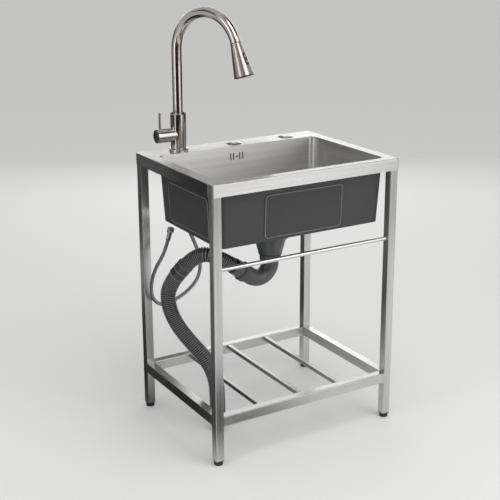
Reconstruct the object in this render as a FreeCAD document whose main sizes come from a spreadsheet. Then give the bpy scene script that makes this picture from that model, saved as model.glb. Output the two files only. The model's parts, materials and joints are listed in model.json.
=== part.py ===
import FreeCAD, Part
import math
import operator
import os
from types import SimpleNamespace

from FreeCAD import Placement, Rotation, Vector
import Sketcher

# A free-standing steel sink: a folded top with one bowl and a tap ledge on four square legs, a
# slatted shelf, a towel bar, a tall pull-out tap, and a drain with a trap and a ribbed hose.
# Millimetres. The origin is on the floor below the middle of the top, +Z is up, the front is -Y.

SIZES = {
    # Top, with its folded edges, the bowl opening and the row of tap holes
    "sink_width": 600.0,
    "sink_depth": 460.0,
    "sink_height": 800.0,
    "deck_wall": 1.2,
    "cut_over": 1.0,
    "apron_drop": 34.0,
    "fold_radius": 2.0,
    "fold_corner_radius": 3.0,
    "apron_gap": 1.0,
    "rim_side": 32.0,
    "rim_front": 26.0,
    "rim_back": 78.0,
    "tap_hole_clearance": 2.5,
    "tap_x": -180.0,
    "tap_hole_pitch": 185.0,
    # Bowl, drawn in towards its floor, with sound pads on its walls
    "bowl_corner": 18.0,
    "bowl_wall": 1.0,
    "bowl_depth": 186.0,
    "bowl_taper": 9.0,
    "pad_thickness": 3.0,
    "pad_corner": 12.0,
    "pad_glue": 0.1,
    "pad_drop": 116.0,
    "pad_front_width": 252.0,
    "pad_front_height": 124.0,
    "pad_side_width": 232.0,
    "pad_side_height": 116.0,
    # Legs, their sockets under the top, and their adjustable feet
    "leg_side": 25.0,
    "leg_wall": 1.2,
    "leg_corner": 2.0,
    "leg_lift": 14.0,
    "socket_length": 55.0,
    "socket_wall": 1.5,
    "socket_clearance": 0.3,
    "screw_drop": 30.0,
    "screw_radius": 2.4,
    "screw_length": 8.0,
    "screw_clearance": 0.1,
    "screw_head_radius": 4.5,
    "screw_crown_radius": 2.7,
    "screw_head": 2.5,
    "plug_flange": 2.0,
    "plug_height": 24.0,
    "plug_clearance": 0.2,
    "foot_radius": 12.5,
    "foot_edge": 1.5,
    "foot_stud_radius": 4.0,
    "foot_stud_length": 20.0,
    "foot_stud_clearance": 0.05,
    # Shelf and towel bar
    "shelf_height": 146.0,
    "rail_height": 30.0,
    "rail_wall": 1.2,
    "slat_width": 14.0,
    "slat_height": 12.0,
    "slat_wall": 1.0,
    "slat_corner": 1.5,
    "slat_drop": 1.0,
    "slat_pitch": 135.0,
    "slat_offset": -10.0,
    "bar_radius": 6.0,
    "bar_height": 565.0,
    # Strainer, lift-out basket and drain cup
    "drain_hole_clearance": 1.0,
    "strainer_flange_width": 14.0,
    "strainer_flange": 1.5,
    "strainer_radius": 42.0,
    "strainer_depth": 40.0,
    "strainer_wall": 1.0,
    "strainer_hole_radius": 4.0,
    "strainer_hole_ring": 24.0,
    "basket_rim_overlap": 5.0,
    "basket_rim": 1.0,
    "basket_seat_gap": 0.3,
    "basket_clearance": 2.5,
    "basket_taper": 3.5,
    "basket_depth": 25.6,
    "basket_wall": 1.1,
    "basket_hole_radius": 2.5,
    "basket_hole_ring": 23.0,
    "knob_stem_radius": 3.0,
    "knob_radius": 8.0,
    "knob_height": 6.0,
    "knob_rise": 6.0,
    "gasket": 3.0,
    "gasket_inset": 1.0,
    "cup_flange_width": 7.0,
    "cup_flange": 4.0,
    "cup_clearance": 3.0,
    "cup_wall": 3.0,
    "cup_straight": 42.0,
    "cup_taper_length": 54.0,
    "cup_neck_radius": 34.0,
    "spider_height": 6.0,
    "spider_width": 10.0,
    "cup_screw_radius": 3.0,
    "cup_screw_head_radius": 6.0,
    "cup_screw_head": 3.0,
    # Trap, its nuts and the drain hose
    "pipe_radius": 25.0,
    "pipe_wall": 3.0,
    "spigot_length": 20.0,
    "nut_clearance": 0.2,
    "drain_nut_wall": 6.3,
    "drain_nut_height": 18.0,
    "trap_entry": 5.0,
    "trap_radius": 42.0,
    "trap_turn": 126.0,
    "trap_branch": 40.0,
    "trap_nut_wall": 3.8,
    "trap_nut_length": 18.0,
    "cuff_wall": 1.5,
    "cuff_length": 30.0,
    "hose_radius": 22.5,
    "hose_groove": 2.0,
    "hose_wall": 2.0,
    "hose_plain_end": 6.0,
    "sleeve_length": 48.0,
    "sleeve_wall": 1.6,
    "sleeve_clearance": 0.3,
    # Overflow
    "overflow_x": -8.0,
    "overflow_drop": 29.0,
    "slit_width": 4.0,
    "slit_height": 21.0,
    "slit_inner": 10.5,
    "slit_outer": 20.5,
    "box_width": 66.0,
    "box_height": 40.0,
    "box_thickness": 28.0,
    "box_corner": 5.0,
    "overflow_screw_radius": 2.5,
    "overflow_head_radius": 4.5,
    "overflow_crown_radius": 3.2,
    "overflow_head": 2.0,
    "overflow_pipe_radius": 9.0,
    "overflow_pipe_wall": 2.0,
    "nipple_length": 16.0,
    "cup_nipple_length": 26.0,
    "cup_nipple_set": 3.0,
    "cup_nipple_drop": 20.0,
    "cup_nipple_rise": 30.0,
    # Tap: base, body, side handle, shank
    "base_radius": 28.0,
    "base_height": 8.0,
    "base_edge": 2.0,
    "body_radius": 23.0,
    "body_height": 102.0,
    "body_edge": 1.5,
    "shank_radius": 15.0,
    "shank_wall": 3.0,
    "shank_length": 100.0,
    "shank_washer_radius": 27.0,
    "shank_washer": 2.0,
    "shank_nut_radius": 22.0,
    "shank_nut": 10.0,
    "handle_height": 48.0,
    "handle_radius": 19.7,
    "handle_neck": 15.0,
    "handle_gap": 0.3,
    "handle_knob": 33.0,
    "handle_spigot_radius": 8.0,
    "handle_spigot_length": 12.0,
    "handle_cap_radius": 17.0,
    "handle_cap": 1.5,
    "lever_radius": 3.3,
    "lever_inset": 20.7,
    "lever_rise": 66.0,
    "lever_seat": 8.0,
    "running_fit": 0.05,
    # Spout and pull-out spray head
    "spout_heading": -69.0,
    "spout_radius": 14.3,
    "spout_wall": 1.5,
    "spout_seat": 30.0,
    "spout_seat_gap": 0.3,
    "spout_rise": 292.6,
    "spout_bend": 111.0,
    "spout_turn": 162.0,
    "guide_radius": 6.95,
    "guide_end_gap": 5.0,
    "guide_bush": 6.0,
    "guide_bush_clearance": 0.4,
    "head_length": 95.0,
    "head_step": 0.2,
    "head_end_radius": 28.0,
    "head_roof": 12.0,
    "head_wall": 6.0,
    "face_inset": 2.7,
    "face_thickness": 4.0,
    "face_clearance": 0.2,
    "panel_place": 49.0,
    "panel_length": 34.0,
    "panel_width": 15.0,
    "panel_corner": 5.0,
    "panel_recess": 3.0,
    "panel_thickness": 1.8,
    "panel_clearance": 0.2,
    "button_pitch": 16.0,
    "button_radius": 4.0,
    "button_height": 1.2,
    "button_gap": 0.9,
    "button_stem_radius": 2.0,
    "button_stem": 1.9,
    # Blanking caps of the two spare tap holes
    "cap_overlap": 4.5,
    "cap_height": 4.0,
    "cap_edge": 1.3,
    "cap_slope": 8.0,
    "cap_stud_radius": 4.0,
    "cap_stud_length": 24.0,
    "cap_washer_overlap": 3.5,
    "cap_washer": 2.0,
    "cap_nut_radius": 8.0,
    "cap_nut": 6.0,
    # Supply hose fittings
    "supply_radius": 5.5,
    "ferrule_radius": 6.8,
    "ferrule_length": 24.0,
    "ferrule_plug": 10.0,
    "ferrule_clearance": 0.2,
    "supply_nut_radius": 10.0,
    "supply_nut_length": 16.0,
    "supply_thread_radius": 7.5,
}

RIBS = 160
STRAINER_HOLES = 8
BASKET_HOLES = 12
SLATS = 3

# Drain hose, from the trap's cuff round to the left and down through the shelf to the floor: a first
# run straight on from the cuff, then points as x, y and a share of the top's height
DRAIN_HOSE_FIRST_RUN = 75.0
DRAIN_HOSE_ROUTE = (
    (-223.0, 22.0, 0.66625),
    (-275.0, 92.0, 0.5375),
    (-281.0, 84.0, 0.465),
    (-268.0, 58.0, 0.3975),
    (-242.0, 20.0, 0.3375),
    (-213.0, -14.0, 0.285),
    (-191.0, -31.0, 0.215),
    (-185.0, -33.0, 0.1375),
    (-185.0, -33.0, 0.015),
)
# Overflow hose, from the box behind the bowl to the nipple on the drain cup: straight first and last
# runs, and between them points as x, a share of the way back from the drain to the box, and a drop
# from the top
OVERFLOW_HOSE_FIRST_RUN = 43.0
OVERFLOW_HOSE_ROUTE = (
    (10.0, 1.035, 160.0),
    (50.0, 1.02, 196.0),
    (98.0, 0.91, 208.0),
    (138.0, 0.71, 210.0),
    (152.0, 0.43, 210.0),
    (138.0, 0.17, 211.0),
)
OVERFLOW_HOSE_LAST_RUN = 50.0
# Braided supply hose, from below the tap round in a loop to its free end: x, y and a drop from the top
SUPPLY_HOSE_ROUTE = (
    (-178.0, 191.0, 172.0),
    (-162.0, 191.0, 228.0),
    (-134.0, 190.0, 288.0),
    (-115.0, 188.0, 348.0),
    (-123.0, 186.0, 399.0),
    (-158.0, 184.0, 434.0),
    (-204.0, 184.0, 457.0),
    (-252.0, 186.0, 469.0),
    (-284.0, 188.0, 440.0),
    (-286.0, 182.0, 386.0),
    (-278.0, 164.0, 336.0),
    (-257.0, 147.0, 291.0),
    (-236.0, 164.6, 259.0),
)

SIGNS = {"+": operator.add, "-": operator.sub, "*": operator.mul, "/": operator.truediv}


class Size:
    """A number together with the sheet expression that gives it."""

    def __init__(self, number, text):
        self.number = float(number)
        self.text = text

    def __add__(self, other):
        return combine(self, "+", other)

    def __radd__(self, other):
        return combine(other, "+", self)

    def __sub__(self, other):
        return combine(self, "-", other)

    def __rsub__(self, other):
        return combine(other, "-", self)

    def __mul__(self, other):
        return combine(self, "*", other)

    def __rmul__(self, other):
        return combine(other, "*", self)

    def __truediv__(self, other):
        return combine(self, "/", other)

    def __neg__(self):
        return combine(0.0, "-", self)


def as_size(value):
    return value if isinstance(value, Size) else Size(value, f"({float(value)!r})")


def combine(first, sign, second):
    first = as_size(first)
    second = as_size(second)
    return Size(SIGNS[sign](first.number, second.number), f"({first.text} {sign} {second.text})")


def cosine(angle):
    return Size(math.cos(math.radians(angle.number)), f"cos({angle.text} * 1 deg)")


def sine(angle):
    return Size(math.sin(math.radians(angle.number)), f"sin({angle.text} * 1 deg)")


def arctangent(ratio):
    return Size(math.degrees(math.atan(ratio.number)), f"(atan({ratio.text}) / 1 deg)")


# Document and sheet of sizes
doc = FreeCAD.newDocument("PortableSink")
sheet = doc.addObject("Spreadsheet::Sheet", "Sizes")
for row, (alias, number) in enumerate(SIZES.items(), start=1):
    sheet.set(f"A{row}", alias)
    sheet.set(f"B{row}", str(number))
    sheet.setAlias(f"B{row}", alias)
doc.recompute()
size = SimpleNamespace(**{alias: Size(number, f"Sizes.{alias}") for alias, number in SIZES.items()})
parts = {}


def keep(obj, label):
    """Takes an object as a finished sub-part under its label."""
    obj.Label = label
    parts[label] = obj
    return obj


def bind(obj, name, value):
    obj.setExpression(name, as_size(value).text)


def place(obj, x=0.0, y=0.0, z=0.0, turns=()):
    """Binds the placement: turns are (axis, degrees) pairs, the last one applied first."""
    base = ";".join(as_size(value).text for value in (x, y, z))
    rotation = " * ".join(
        f"rotation(vector({axis[0]};{axis[1]};{axis[2]}); {as_size(angle).text})" for axis, angle in turns
    )
    obj.setExpression("Placement", f"placement(vector({base}); {rotation or 'rotation(0; 0; 0)'})")
    return obj


X_AXIS = (1, 0, 0)
Y_AXIS = (0, 1, 0)
Z_AXIS = (0, 0, 1)


def box(name, length, width, height, x, y, z):
    """A block whose X and Y are middles and whose Z is its underside."""
    obj = doc.addObject("Part::Box", name)
    bind(obj, "Length", length)
    bind(obj, "Width", width)
    bind(obj, "Height", height)
    return place(obj, x - length / 2, y - width / 2, z)


def rod(name, radius, height, x=0.0, y=0.0, z=0.0, turns=()):
    obj = doc.addObject("Part::Cylinder", name)
    bind(obj, "Radius", radius)
    bind(obj, "Height", height)
    return place(obj, x, y, z, turns)


def group(name, members):
    obj = doc.addObject("Part::Compound", name)
    obj.Links = members
    return obj


def fuse(name, members):
    obj = doc.addObject("Part::MultiFuse", name)
    obj.Shapes = members
    return obj


def cut(name, base, tools):
    obj = doc.addObject("Part::Cut", name)
    obj.Base = base
    obj.Tool = tools[0] if len(tools) == 1 else fuse(name + "_tools", tools)
    return obj


def common(name, base, tool):
    obj = doc.addObject("Part::Common", name)
    obj.Base = base
    obj.Tool = tool
    return obj


def new_sketch(body, role, lift=None):
    sketch = body.newObject("Sketcher::SketchObject", body.Name + "_sketch")
    planes = {feature.Role: feature for feature in body.Origin.OriginFeatures}
    sketch.AttachmentSupport = [(planes[role], "")]
    sketch.MapMode = "FlatFace"
    if lift is not None:
        bind(sketch, "AttachmentOffset.Base.z", lift)
    return sketch


def constrain(sketch, kind, places, value, name):
    index = sketch.addConstraint(Sketcher.Constraint(kind, *places, as_size(value).number))
    sketch.renameConstraint(index, name)
    bind(sketch, "Constraints." + name, value)


def rounded_rectangle(sketch, width, depth, radius, name):
    """A rectangle about the sketch's origin with rounded corners."""
    w = width.number / 2 - radius.number
    d = depth.number / 2 - radius.number
    centres = ((w, d), (-w, d), (-w, -d), (w, -d))
    arcs = []
    for quarter, (x, y) in enumerate(centres):
        circle = Part.Circle(Vector(x, y, 0), Vector(0, 0, 1), radius.number)
        start = quarter * math.pi / 2
        arcs.append(sketch.addGeometry(Part.ArcOfCircle(circle, start, start + math.pi / 2)))
    sides = []
    for quarter in range(4):
        first = sketch.Geometry[arcs[quarter]].EndPoint
        last = sketch.Geometry[arcs[(quarter + 1) % 4]].StartPoint
        sides.append(sketch.addGeometry(Part.LineSegment(first, last)))
    for quarter in range(4):
        sketch.addConstraint(Sketcher.Constraint("Tangent", arcs[quarter], 2, sides[quarter], 1))
        sketch.addConstraint(Sketcher.Constraint("Tangent", sides[quarter], 2, arcs[(quarter + 1) % 4], 1))
        sketch.addConstraint(Sketcher.Constraint("Vertical" if quarter % 2 else "Horizontal", sides[quarter]))
    for arc in arcs[1:]:
        sketch.addConstraint(Sketcher.Constraint("Equal", arcs[0], arc))
    sketch.addConstraint(Sketcher.Constraint("Symmetric", arcs[0], 3, arcs[2], 3, -1, 1))
    constrain(sketch, "Radius", (arcs[0],), radius, name + "_radius")
    constrain(sketch, "DistanceX", (sides[1], 1, sides[3], 1), width, name + "_width")
    constrain(sketch, "DistanceY", (sides[2], 1, sides[0], 1), depth, name + "_depth")


def plate(name, width, depth, radius, thickness, wall=None):
    """A flat rounded plate, or a rounded tube where a wall is given, standing on its own XY plane."""
    body = doc.addObject("PartDesign::Body", name)
    sketch = new_sketch(body, "XY_Plane")
    rounded_rectangle(sketch, width, depth, radius, "outer")
    if wall is not None:
        rounded_rectangle(sketch, width - wall * 2, depth - wall * 2, radius - wall, "inner")
    pad = body.newObject("PartDesign::Pad", name + "_pad")
    pad.Profile = sketch
    bind(pad, "Length", thickness)
    return body


def round_top(body, radius):
    """Rounds the edges of a plate's upper face."""
    pad = body.Tip
    pad.recompute(True)
    heights = [face.CenterOfMass.z for face in pad.Shape.Faces]
    upper = heights.index(max(heights)) + 1
    rounding = body.newObject("PartDesign::Fillet", body.Name + "_rounding")
    rounding.Base = (pad, [f"Face{upper}"])
    bind(rounding, "Radius", radius)
    return body


def square_tube(name, side, radius, length, wall=None):
    return plate(name, side, side, radius, length, wall)


def turned(name, profile):
    """A body turned about its own Z axis from a closed outline of (radius, height) points."""
    body = doc.addObject("PartDesign::Body", name)
    sketch = new_sketch(body, "XZ_Plane")
    points = [(as_size(radius), as_size(height)) for radius, height in profile]
    vectors = [Vector(radius.number, height.number, 0) for radius, height in points]
    sides = [
        sketch.addGeometry(Part.LineSegment(first, last))
        for first, last in zip(vectors, vectors[1:] + vectors[:1])
    ]
    for side, following in zip(sides, sides[1:] + sides[:1]):
        sketch.addConstraint(Sketcher.Constraint("Coincident", side, 2, following, 1))
    for side, (radius, height) in zip(sides, points):
        if radius.number == 0:
            sketch.addConstraint(Sketcher.Constraint("PointOnObject", side, 1, -2))
        else:
            constrain(sketch, "DistanceX", (-1, 1, side, 1), radius, f"radius_{side}")
        if height.number == 0:
            sketch.addConstraint(Sketcher.Constraint("PointOnObject", side, 1, -1))
        else:
            constrain(sketch, "DistanceY", (-1, 1, side, 1), height, f"height_{side}")
    revolution = body.newObject("PartDesign::Revolution", name + "_turn")
    revolution.Profile = sketch
    revolution.ReferenceAxis = (sketch, ["V_Axis"])
    revolution.Angle = 360.0
    return body


def ring(name, inner, outer, low, high):
    return turned(name, ((inner, low), (outer, low), (outer, high), (inner, high)))


def hole_ring(name, radius, pitch_radius, count, x, y, z, height):
    """Rods that drill a ring of holes."""
    rods = []
    for index in range(count):
        angle = 2 * math.pi * index / count
        offset_x = pitch_radius * math.cos(angle)
        offset_y = pitch_radius * math.sin(angle)
        rods.append(rod(f"{name}_{index}", radius, height, x + offset_x, y + offset_y, z))
    return rods


# Levels and places that several pieces share
half_width = size.sink_width / 2
half_depth = size.sink_depth / 2
deck_under = size.sink_height - size.deck_wall
leg_x = half_width - size.deck_wall - size.leg_side / 2
leg_y = half_depth - size.deck_wall - size.leg_side / 2
opening_width = size.sink_width - size.rim_side * 2
opening_depth = size.sink_depth - size.rim_front - size.rim_back
bowl_y = (size.rim_front - size.rim_back) / 2
floor_under = deck_under - size.bowl_depth
floor_top = floor_under + size.bowl_wall
tap_y = half_depth - size.rim_back / 2
tap_hole_radius = size.shank_radius + size.tap_hole_clearance
drain_hole_radius = size.strainer_radius + size.drain_hole_clearance
wall_tilt = arctangent(size.bowl_taper / size.bowl_depth)
CORNERS = {
    "front_left": (-1, -1),
    "front_right": (1, -1),
    "back_left": (-1, 1),
    "back_right": (1, 1),
}


# Sink top: a deck with the bowl opening and three tap holes, deep folded edges at the front and
# back, and side edges that stop at the legs. The folds are rounded outside
def sink_top():
    deck = box("deck", size.sink_width, size.sink_depth, size.deck_wall, as_size(0), as_size(0), deck_under)
    apron_low = size.sink_height - size.apron_drop
    apron_height = size.apron_drop - size.deck_wall
    side_length = (leg_y - size.leg_side / 2 - size.apron_gap) * 2
    aprons = []
    for sign, side in ((-1, "front"), (1, "back")):
        y = (half_depth - size.deck_wall / 2) * sign
        aprons.append(
            box(f"apron_{side}", size.sink_width, size.deck_wall, apron_height, as_size(0), y, apron_low)
        )
    for sign, side in ((-1, "left"), (1, "right")):
        x = (half_width - size.deck_wall / 2) * sign
        aprons.append(
            box(f"apron_{side}", size.deck_wall, side_length, apron_height, x, as_size(0), apron_low)
        )
    outside = plate(
        "fold_outside", size.sink_width, size.sink_depth, size.fold_corner_radius, size.apron_drop
    )
    place(round_top(outside, size.fold_radius), 0, 0, apron_low)
    folded = common("folded_top", fuse("sharp_top", [deck] + aprons), outside)
    hole_height = size.deck_wall + size.cut_over * 2
    hole_low = deck_under - size.cut_over
    opening = plate("bowl_opening", opening_width, opening_depth, size.bowl_corner, hole_height)
    place(opening, 0, bowl_y, hole_low)
    holes = [
        rod(
            f"tap_hole_{index}",
            tap_hole_radius,
            hole_height,
            size.tap_x + size.tap_hole_pitch * index,
            tap_y,
            hole_low,
        )
        for index in range(3)
    ]
    keep(cut("sink_top", folded, [opening] + holes), "sink_top")


# Places on the bowl's outside walls: turned by their heading from the front and leaning outwards
WALLS = {"front": 0.0, "right": 90.0, "back": 180.0, "left": 270.0}


def on_wall(obj, wall, drop, outward=0.0, sideways=0.0):
    """Stands a plate on a wall: its Z points outwards, and drop is down from the deck's underside."""
    lean = size.bowl_taper * (as_size(drop) / size.bowl_depth)
    away = as_size(outward) * cosine(wall_tilt) - lean
    half_x = opening_width / 2 + size.bowl_wall + away
    half_y = opening_depth / 2 + size.bowl_wall + away
    z = deck_under - drop - as_size(outward) * sine(wall_tilt)
    x, y = {
        "front": (sideways, bowl_y - half_y),
        "back": (sideways, bowl_y + half_y),
        "right": (half_x, bowl_y + sideways),
        "left": (-half_x, bowl_y + sideways),
    }[wall]
    return place(obj, x, y, z, ((Z_AXIS, WALLS[wall]), (X_AXIS, 90.0 + wall_tilt)))


def bowl():
    body = doc.addObject("PartDesign::Body", "bowl_shell")
    levels = {
        "outer": (size.bowl_wall, as_size(0)),
        "inner": (as_size(0), size.bowl_wall),
    }
    lofts = {"outer": "PartDesign::AdditiveLoft", "inner": "PartDesign::SubtractiveLoft"}
    for side, (growth, lift) in levels.items():
        drawn_in = size.bowl_taper * (1 - lift / size.bowl_depth)
        low = new_sketch(body, "XY_Plane", lift)
        low_width = opening_width + growth * 2 - drawn_in * 2
        low_depth = opening_depth + growth * 2 - drawn_in * 2
        rounded_rectangle(low, low_width, low_depth, size.bowl_corner + growth, side + "_low")
        high = new_sketch(body, "XY_Plane", size.bowl_depth)
        high_width = opening_width + growth * 2
        high_depth = opening_depth + growth * 2
        rounded_rectangle(high, high_width, high_depth, size.bowl_corner + growth, side + "_high")
        loft = body.newObject(lofts[side], f"bowl_{side}")
        loft.Profile = low
        loft.Sections = [high]
        loft.Ruled = True
    place(body, 0, bowl_y, floor_under)
    hole_height = size.bowl_wall + size.cut_over * 2
    drain_hole = rod("drain_hole", drain_hole_radius, hole_height, 0, bowl_y, floor_under - size.cut_over)
    tools = [drain_hole]
    for index, offset in enumerate((-size.slit_outer, -size.slit_inner, size.slit_inner, size.slit_outer)):
        slit = box(
            f"overflow_slit_{index}",
            size.slit_width,
            (size.bowl_taper + size.bowl_wall) * 2,
            size.slit_height,
            size.overflow_x + offset,
            bowl_y + opening_depth / 2,
            deck_under - size.overflow_drop - size.slit_height / 2,
        )
        tools.append(slit)
    screw_hole = rod("overflow_hole", size.overflow_screw_radius + size.screw_clearance, size.bowl_taper * 2)
    on_wall(screw_hole, "back", size.overflow_drop, -size.bowl_taper, size.overflow_x)
    tools.append(screw_hole)
    keep(cut("bowl", body, tools), "bowl")


def sound_pads():
    for wall in WALLS:
        along_front = wall in ("front", "back")
        width = size.pad_front_width if along_front else size.pad_side_width
        height = size.pad_front_height if along_front else size.pad_side_height
        pad = plate(f"sound_pad_{wall}", width, height, size.pad_corner, size.pad_thickness)
        on_wall(pad, wall, size.pad_drop, size.pad_glue)
        keep(pad, f"sound_pad_{wall}")


# Legs: square tubes up to the deck's underside, pushed over sockets and held by a screw each, with
# a plug and a screw-out foot in the lower end
def legs():
    leg_length = deck_under - size.leg_lift
    inside = size.leg_side - size.leg_wall * 2
    socket_side = inside - size.socket_clearance * 2
    screw_z = deck_under - size.screw_drop
    hole_radius = size.screw_radius + size.screw_clearance
    hole_depth = size.leg_side / 2 + size.screw_head
    plug_side = inside - size.plug_clearance * 2
    foot_height = size.leg_lift - size.plug_flange
    sockets = []
    screws = []
    plugs = []
    for corner, (side, end) in CORNERS.items():
        x = leg_x * side
        y = leg_y * end
        tube = square_tube(f"leg_tube_{corner}", size.leg_side, size.leg_corner, leg_length, size.leg_wall)
        place(tube, x, y, size.leg_lift)
        inwards = ((X_AXIS, 90.0 * end),)
        leg_hole = rod(f"leg_hole_{corner}", hole_radius, hole_depth, x, y, screw_z, inwards)
        keep(cut(f"leg_{corner}", tube, [leg_hole]), f"leg_{corner}")
        socket_name = f"socket_tube_{corner}"
        socket_tube = square_tube(
            socket_name, socket_side, size.leg_corner, size.socket_length, size.socket_wall
        )
        place(socket_tube, x, y, deck_under - size.socket_length)
        socket_hole = rod(f"socket_hole_{corner}", hole_radius, hole_depth, x, y, screw_z, inwards)
        sockets.append(cut(f"leg_socket_{corner}", socket_tube, [socket_hole]))
        screw = turned(
            f"leg_screw_{corner}",
            (
                (0, -size.screw_length),
                (size.screw_radius, -size.screw_length),
                (size.screw_radius, 0),
                (size.screw_head_radius, 0),
                (size.screw_crown_radius, size.screw_head),
                (0, size.screw_head),
            ),
        )
        place(screw, x, y - size.leg_side / 2 * end, screw_z, inwards)
        screws.append(screw)
        flange = square_tube(f"plug_flange_{corner}", size.leg_side, size.leg_corner, size.plug_flange)
        place(flange, x, y, foot_height)
        insert = box(f"plug_insert_{corner}", plug_side, plug_side, size.plug_height, x, y, size.leg_lift)
        stud_hole = rod(
            f"plug_hole_{corner}",
            size.foot_stud_radius + size.foot_stud_clearance,
            size.plug_height + size.leg_lift,
            x,
            y,
            foot_height - size.plug_flange,
        )
        plugs.append(cut(f"leg_plug_{corner}", fuse(f"plug_{corner}", [flange, insert]), [stud_hole]))
        stud_top = foot_height + size.foot_stud_length
        foot = turned(
            f"foot_{corner}",
            (
                (0, 0),
                (size.foot_radius - size.foot_edge, 0),
                (size.foot_radius, size.foot_edge),
                (size.foot_radius, foot_height - size.foot_edge),
                (size.foot_radius - size.foot_edge, foot_height),
                (size.foot_stud_radius, foot_height),
                (size.foot_stud_radius, stud_top),
                (0, stud_top),
            ),
        )
        place(foot, x, y, 0)
        keep(foot, f"foot_{corner}")
    keep(group("leg_sockets", sockets), "leg_sockets")
    keep(group("leg_screws", screws), "leg_screws")
    keep(group("leg_plugs", plugs), "leg_plugs")


# Shelf: four rails between the legs and slats from front to back. Towel bar between the front legs
def shelf():
    rail_z = size.shelf_height - size.rail_height / 2
    long_rail = (leg_x - size.leg_side / 2) * 2
    short_rail = (leg_y - size.leg_side / 2) * 2
    for side, end in (("front", -1), ("back", 1)):
        name = f"shelf_rail_{side}"
        rail = plate(name, size.rail_height, size.leg_side, size.leg_corner, long_rail, size.rail_wall)
        place(rail, -long_rail / 2, leg_y * end, rail_z, ((Y_AXIS, 90.0),))
        keep(rail, name)
    for side, end in (("left", -1), ("right", 1)):
        name = f"shelf_rail_{side}"
        rail = plate(name, size.leg_side, size.rail_height, size.leg_corner, short_rail, size.rail_wall)
        place(rail, leg_x * end, short_rail / 2, rail_z, ((X_AXIS, 90.0),))
        keep(rail, name)
    slat_z = size.shelf_height - size.slat_drop - size.slat_height / 2
    for index in range(SLATS):
        name = f"shelf_slat_{index + 1}"
        slat = plate(name, size.slat_width, size.slat_height, size.slat_corner, short_rail, size.slat_wall)
        x = size.slat_offset + size.slat_pitch * (index - (SLATS - 1) / 2)
        place(slat, x, short_rail / 2, slat_z, ((X_AXIS, 90.0),))
        keep(slat, name)
    bar = rod("towel_bar", size.bar_radius, long_rail)
    place(bar, -long_rail / 2, -leg_y, size.bar_height, ((Y_AXIS, 90.0),))
    keep(bar, "towel_bar")


# Drain levels, from the bowl's floor down
gasket_under = floor_under - size.gasket
cup_step = gasket_under - size.cup_flange
cup_shoulder = gasket_under - size.cup_straight
cup_low = cup_shoulder - size.cup_taper_length
spigot_end = cup_low - size.spigot_length
spigot_bore = size.pipe_radius - size.pipe_wall
strainer_floor = floor_top - size.strainer_depth
strainer_inside = size.strainer_radius - size.strainer_wall
cup_inside = size.strainer_radius + size.cup_clearance
cup_radius = cup_inside + size.cup_wall
cup_flange_radius = cup_radius + size.cup_flange_width


def strainer():
    top = floor_top + size.strainer_flange
    flange_radius = size.strainer_radius + size.strainer_flange_width
    screw_hole = size.cup_screw_radius + size.screw_clearance
    shell = turned(
        "strainer_shell",
        (
            (screw_hole, strainer_floor),
            (size.strainer_radius, strainer_floor),
            (size.strainer_radius, floor_top),
            (flange_radius, floor_top),
            (flange_radius - size.strainer_flange, top),
            (strainer_inside, top),
            (strainer_inside, strainer_floor + size.strainer_wall),
            (screw_hole, strainer_floor + size.strainer_wall),
        ),
    )
    place(shell, 0, bowl_y, 0)
    drills = hole_ring(
        "strainer_hole",
        size.strainer_hole_radius,
        size.strainer_hole_ring,
        STRAINER_HOLES,
        0,
        bowl_y,
        strainer_floor - size.cut_over,
        size.strainer_wall + size.cut_over * 2,
    )
    keep(cut("strainer_body", shell, drills), "strainer_body")
    screw_top = strainer_floor + size.strainer_wall
    screw = turned(
        "strainer_screw",
        (
            (0, cup_low + size.cup_wall),
            (size.cup_screw_radius, cup_low + size.cup_wall),
            (size.cup_screw_radius, screw_top),
            (size.cup_screw_head_radius, screw_top),
            (size.cup_screw_head_radius, screw_top + size.cup_screw_head),
            (0, screw_top + size.cup_screw_head),
        ),
    )
    place(screw, 0, bowl_y, 0)
    keep(screw, "strainer_screw")


def basket():
    rim_low = floor_top + size.strainer_flange + size.basket_seat_gap
    rim_high = rim_low + size.basket_rim
    low = rim_low - size.basket_depth
    knob_low = rim_high + size.knob_rise - size.knob_height
    knob_high = rim_high + size.knob_rise
    rim_radius = strainer_inside + size.basket_rim_overlap
    top_radius = strainer_inside - size.basket_clearance
    floor_radius = top_radius - size.basket_taper
    shell = turned(
        "basket_shell",
        (
            (0, low),
            (floor_radius, low),
            (top_radius, rim_low),
            (rim_radius, rim_low),
            (rim_radius, rim_high),
            (top_radius - size.basket_wall, rim_high),
            (floor_radius - size.basket_wall, low + size.basket_wall),
            (size.knob_stem_radius, low + size.basket_wall),
            (size.knob_stem_radius, knob_low),
            (size.knob_radius, knob_low),
            (size.knob_radius, knob_high),
            (0, knob_high),
        ),
    )
    place(shell, 0, bowl_y, 0)
    drills = hole_ring(
        "basket_hole",
        size.basket_hole_radius,
        size.basket_hole_ring,
        BASKET_HOLES,
        0,
        bowl_y,
        low - size.cut_over,
        size.basket_wall + size.cut_over * 2,
    )
    keep(cut("basket", shell, drills), "basket")


# The nipple on the cup's right side, for the overflow hose
cup_nipple_start = size.cup_neck_radius + size.cup_nipple_set
cup_nipple_z = cup_shoulder - size.cup_nipple_drop
nipple_turns = ((Y_AXIS, 90.0 - size.cup_nipple_rise),)
cup_nipple_end_x = cup_nipple_start + cosine(size.cup_nipple_rise) * size.cup_nipple_length
cup_nipple_end_z = cup_nipple_z + sine(size.cup_nipple_rise) * size.cup_nipple_length
overflow_bore = size.overflow_pipe_radius - size.overflow_pipe_wall


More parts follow.
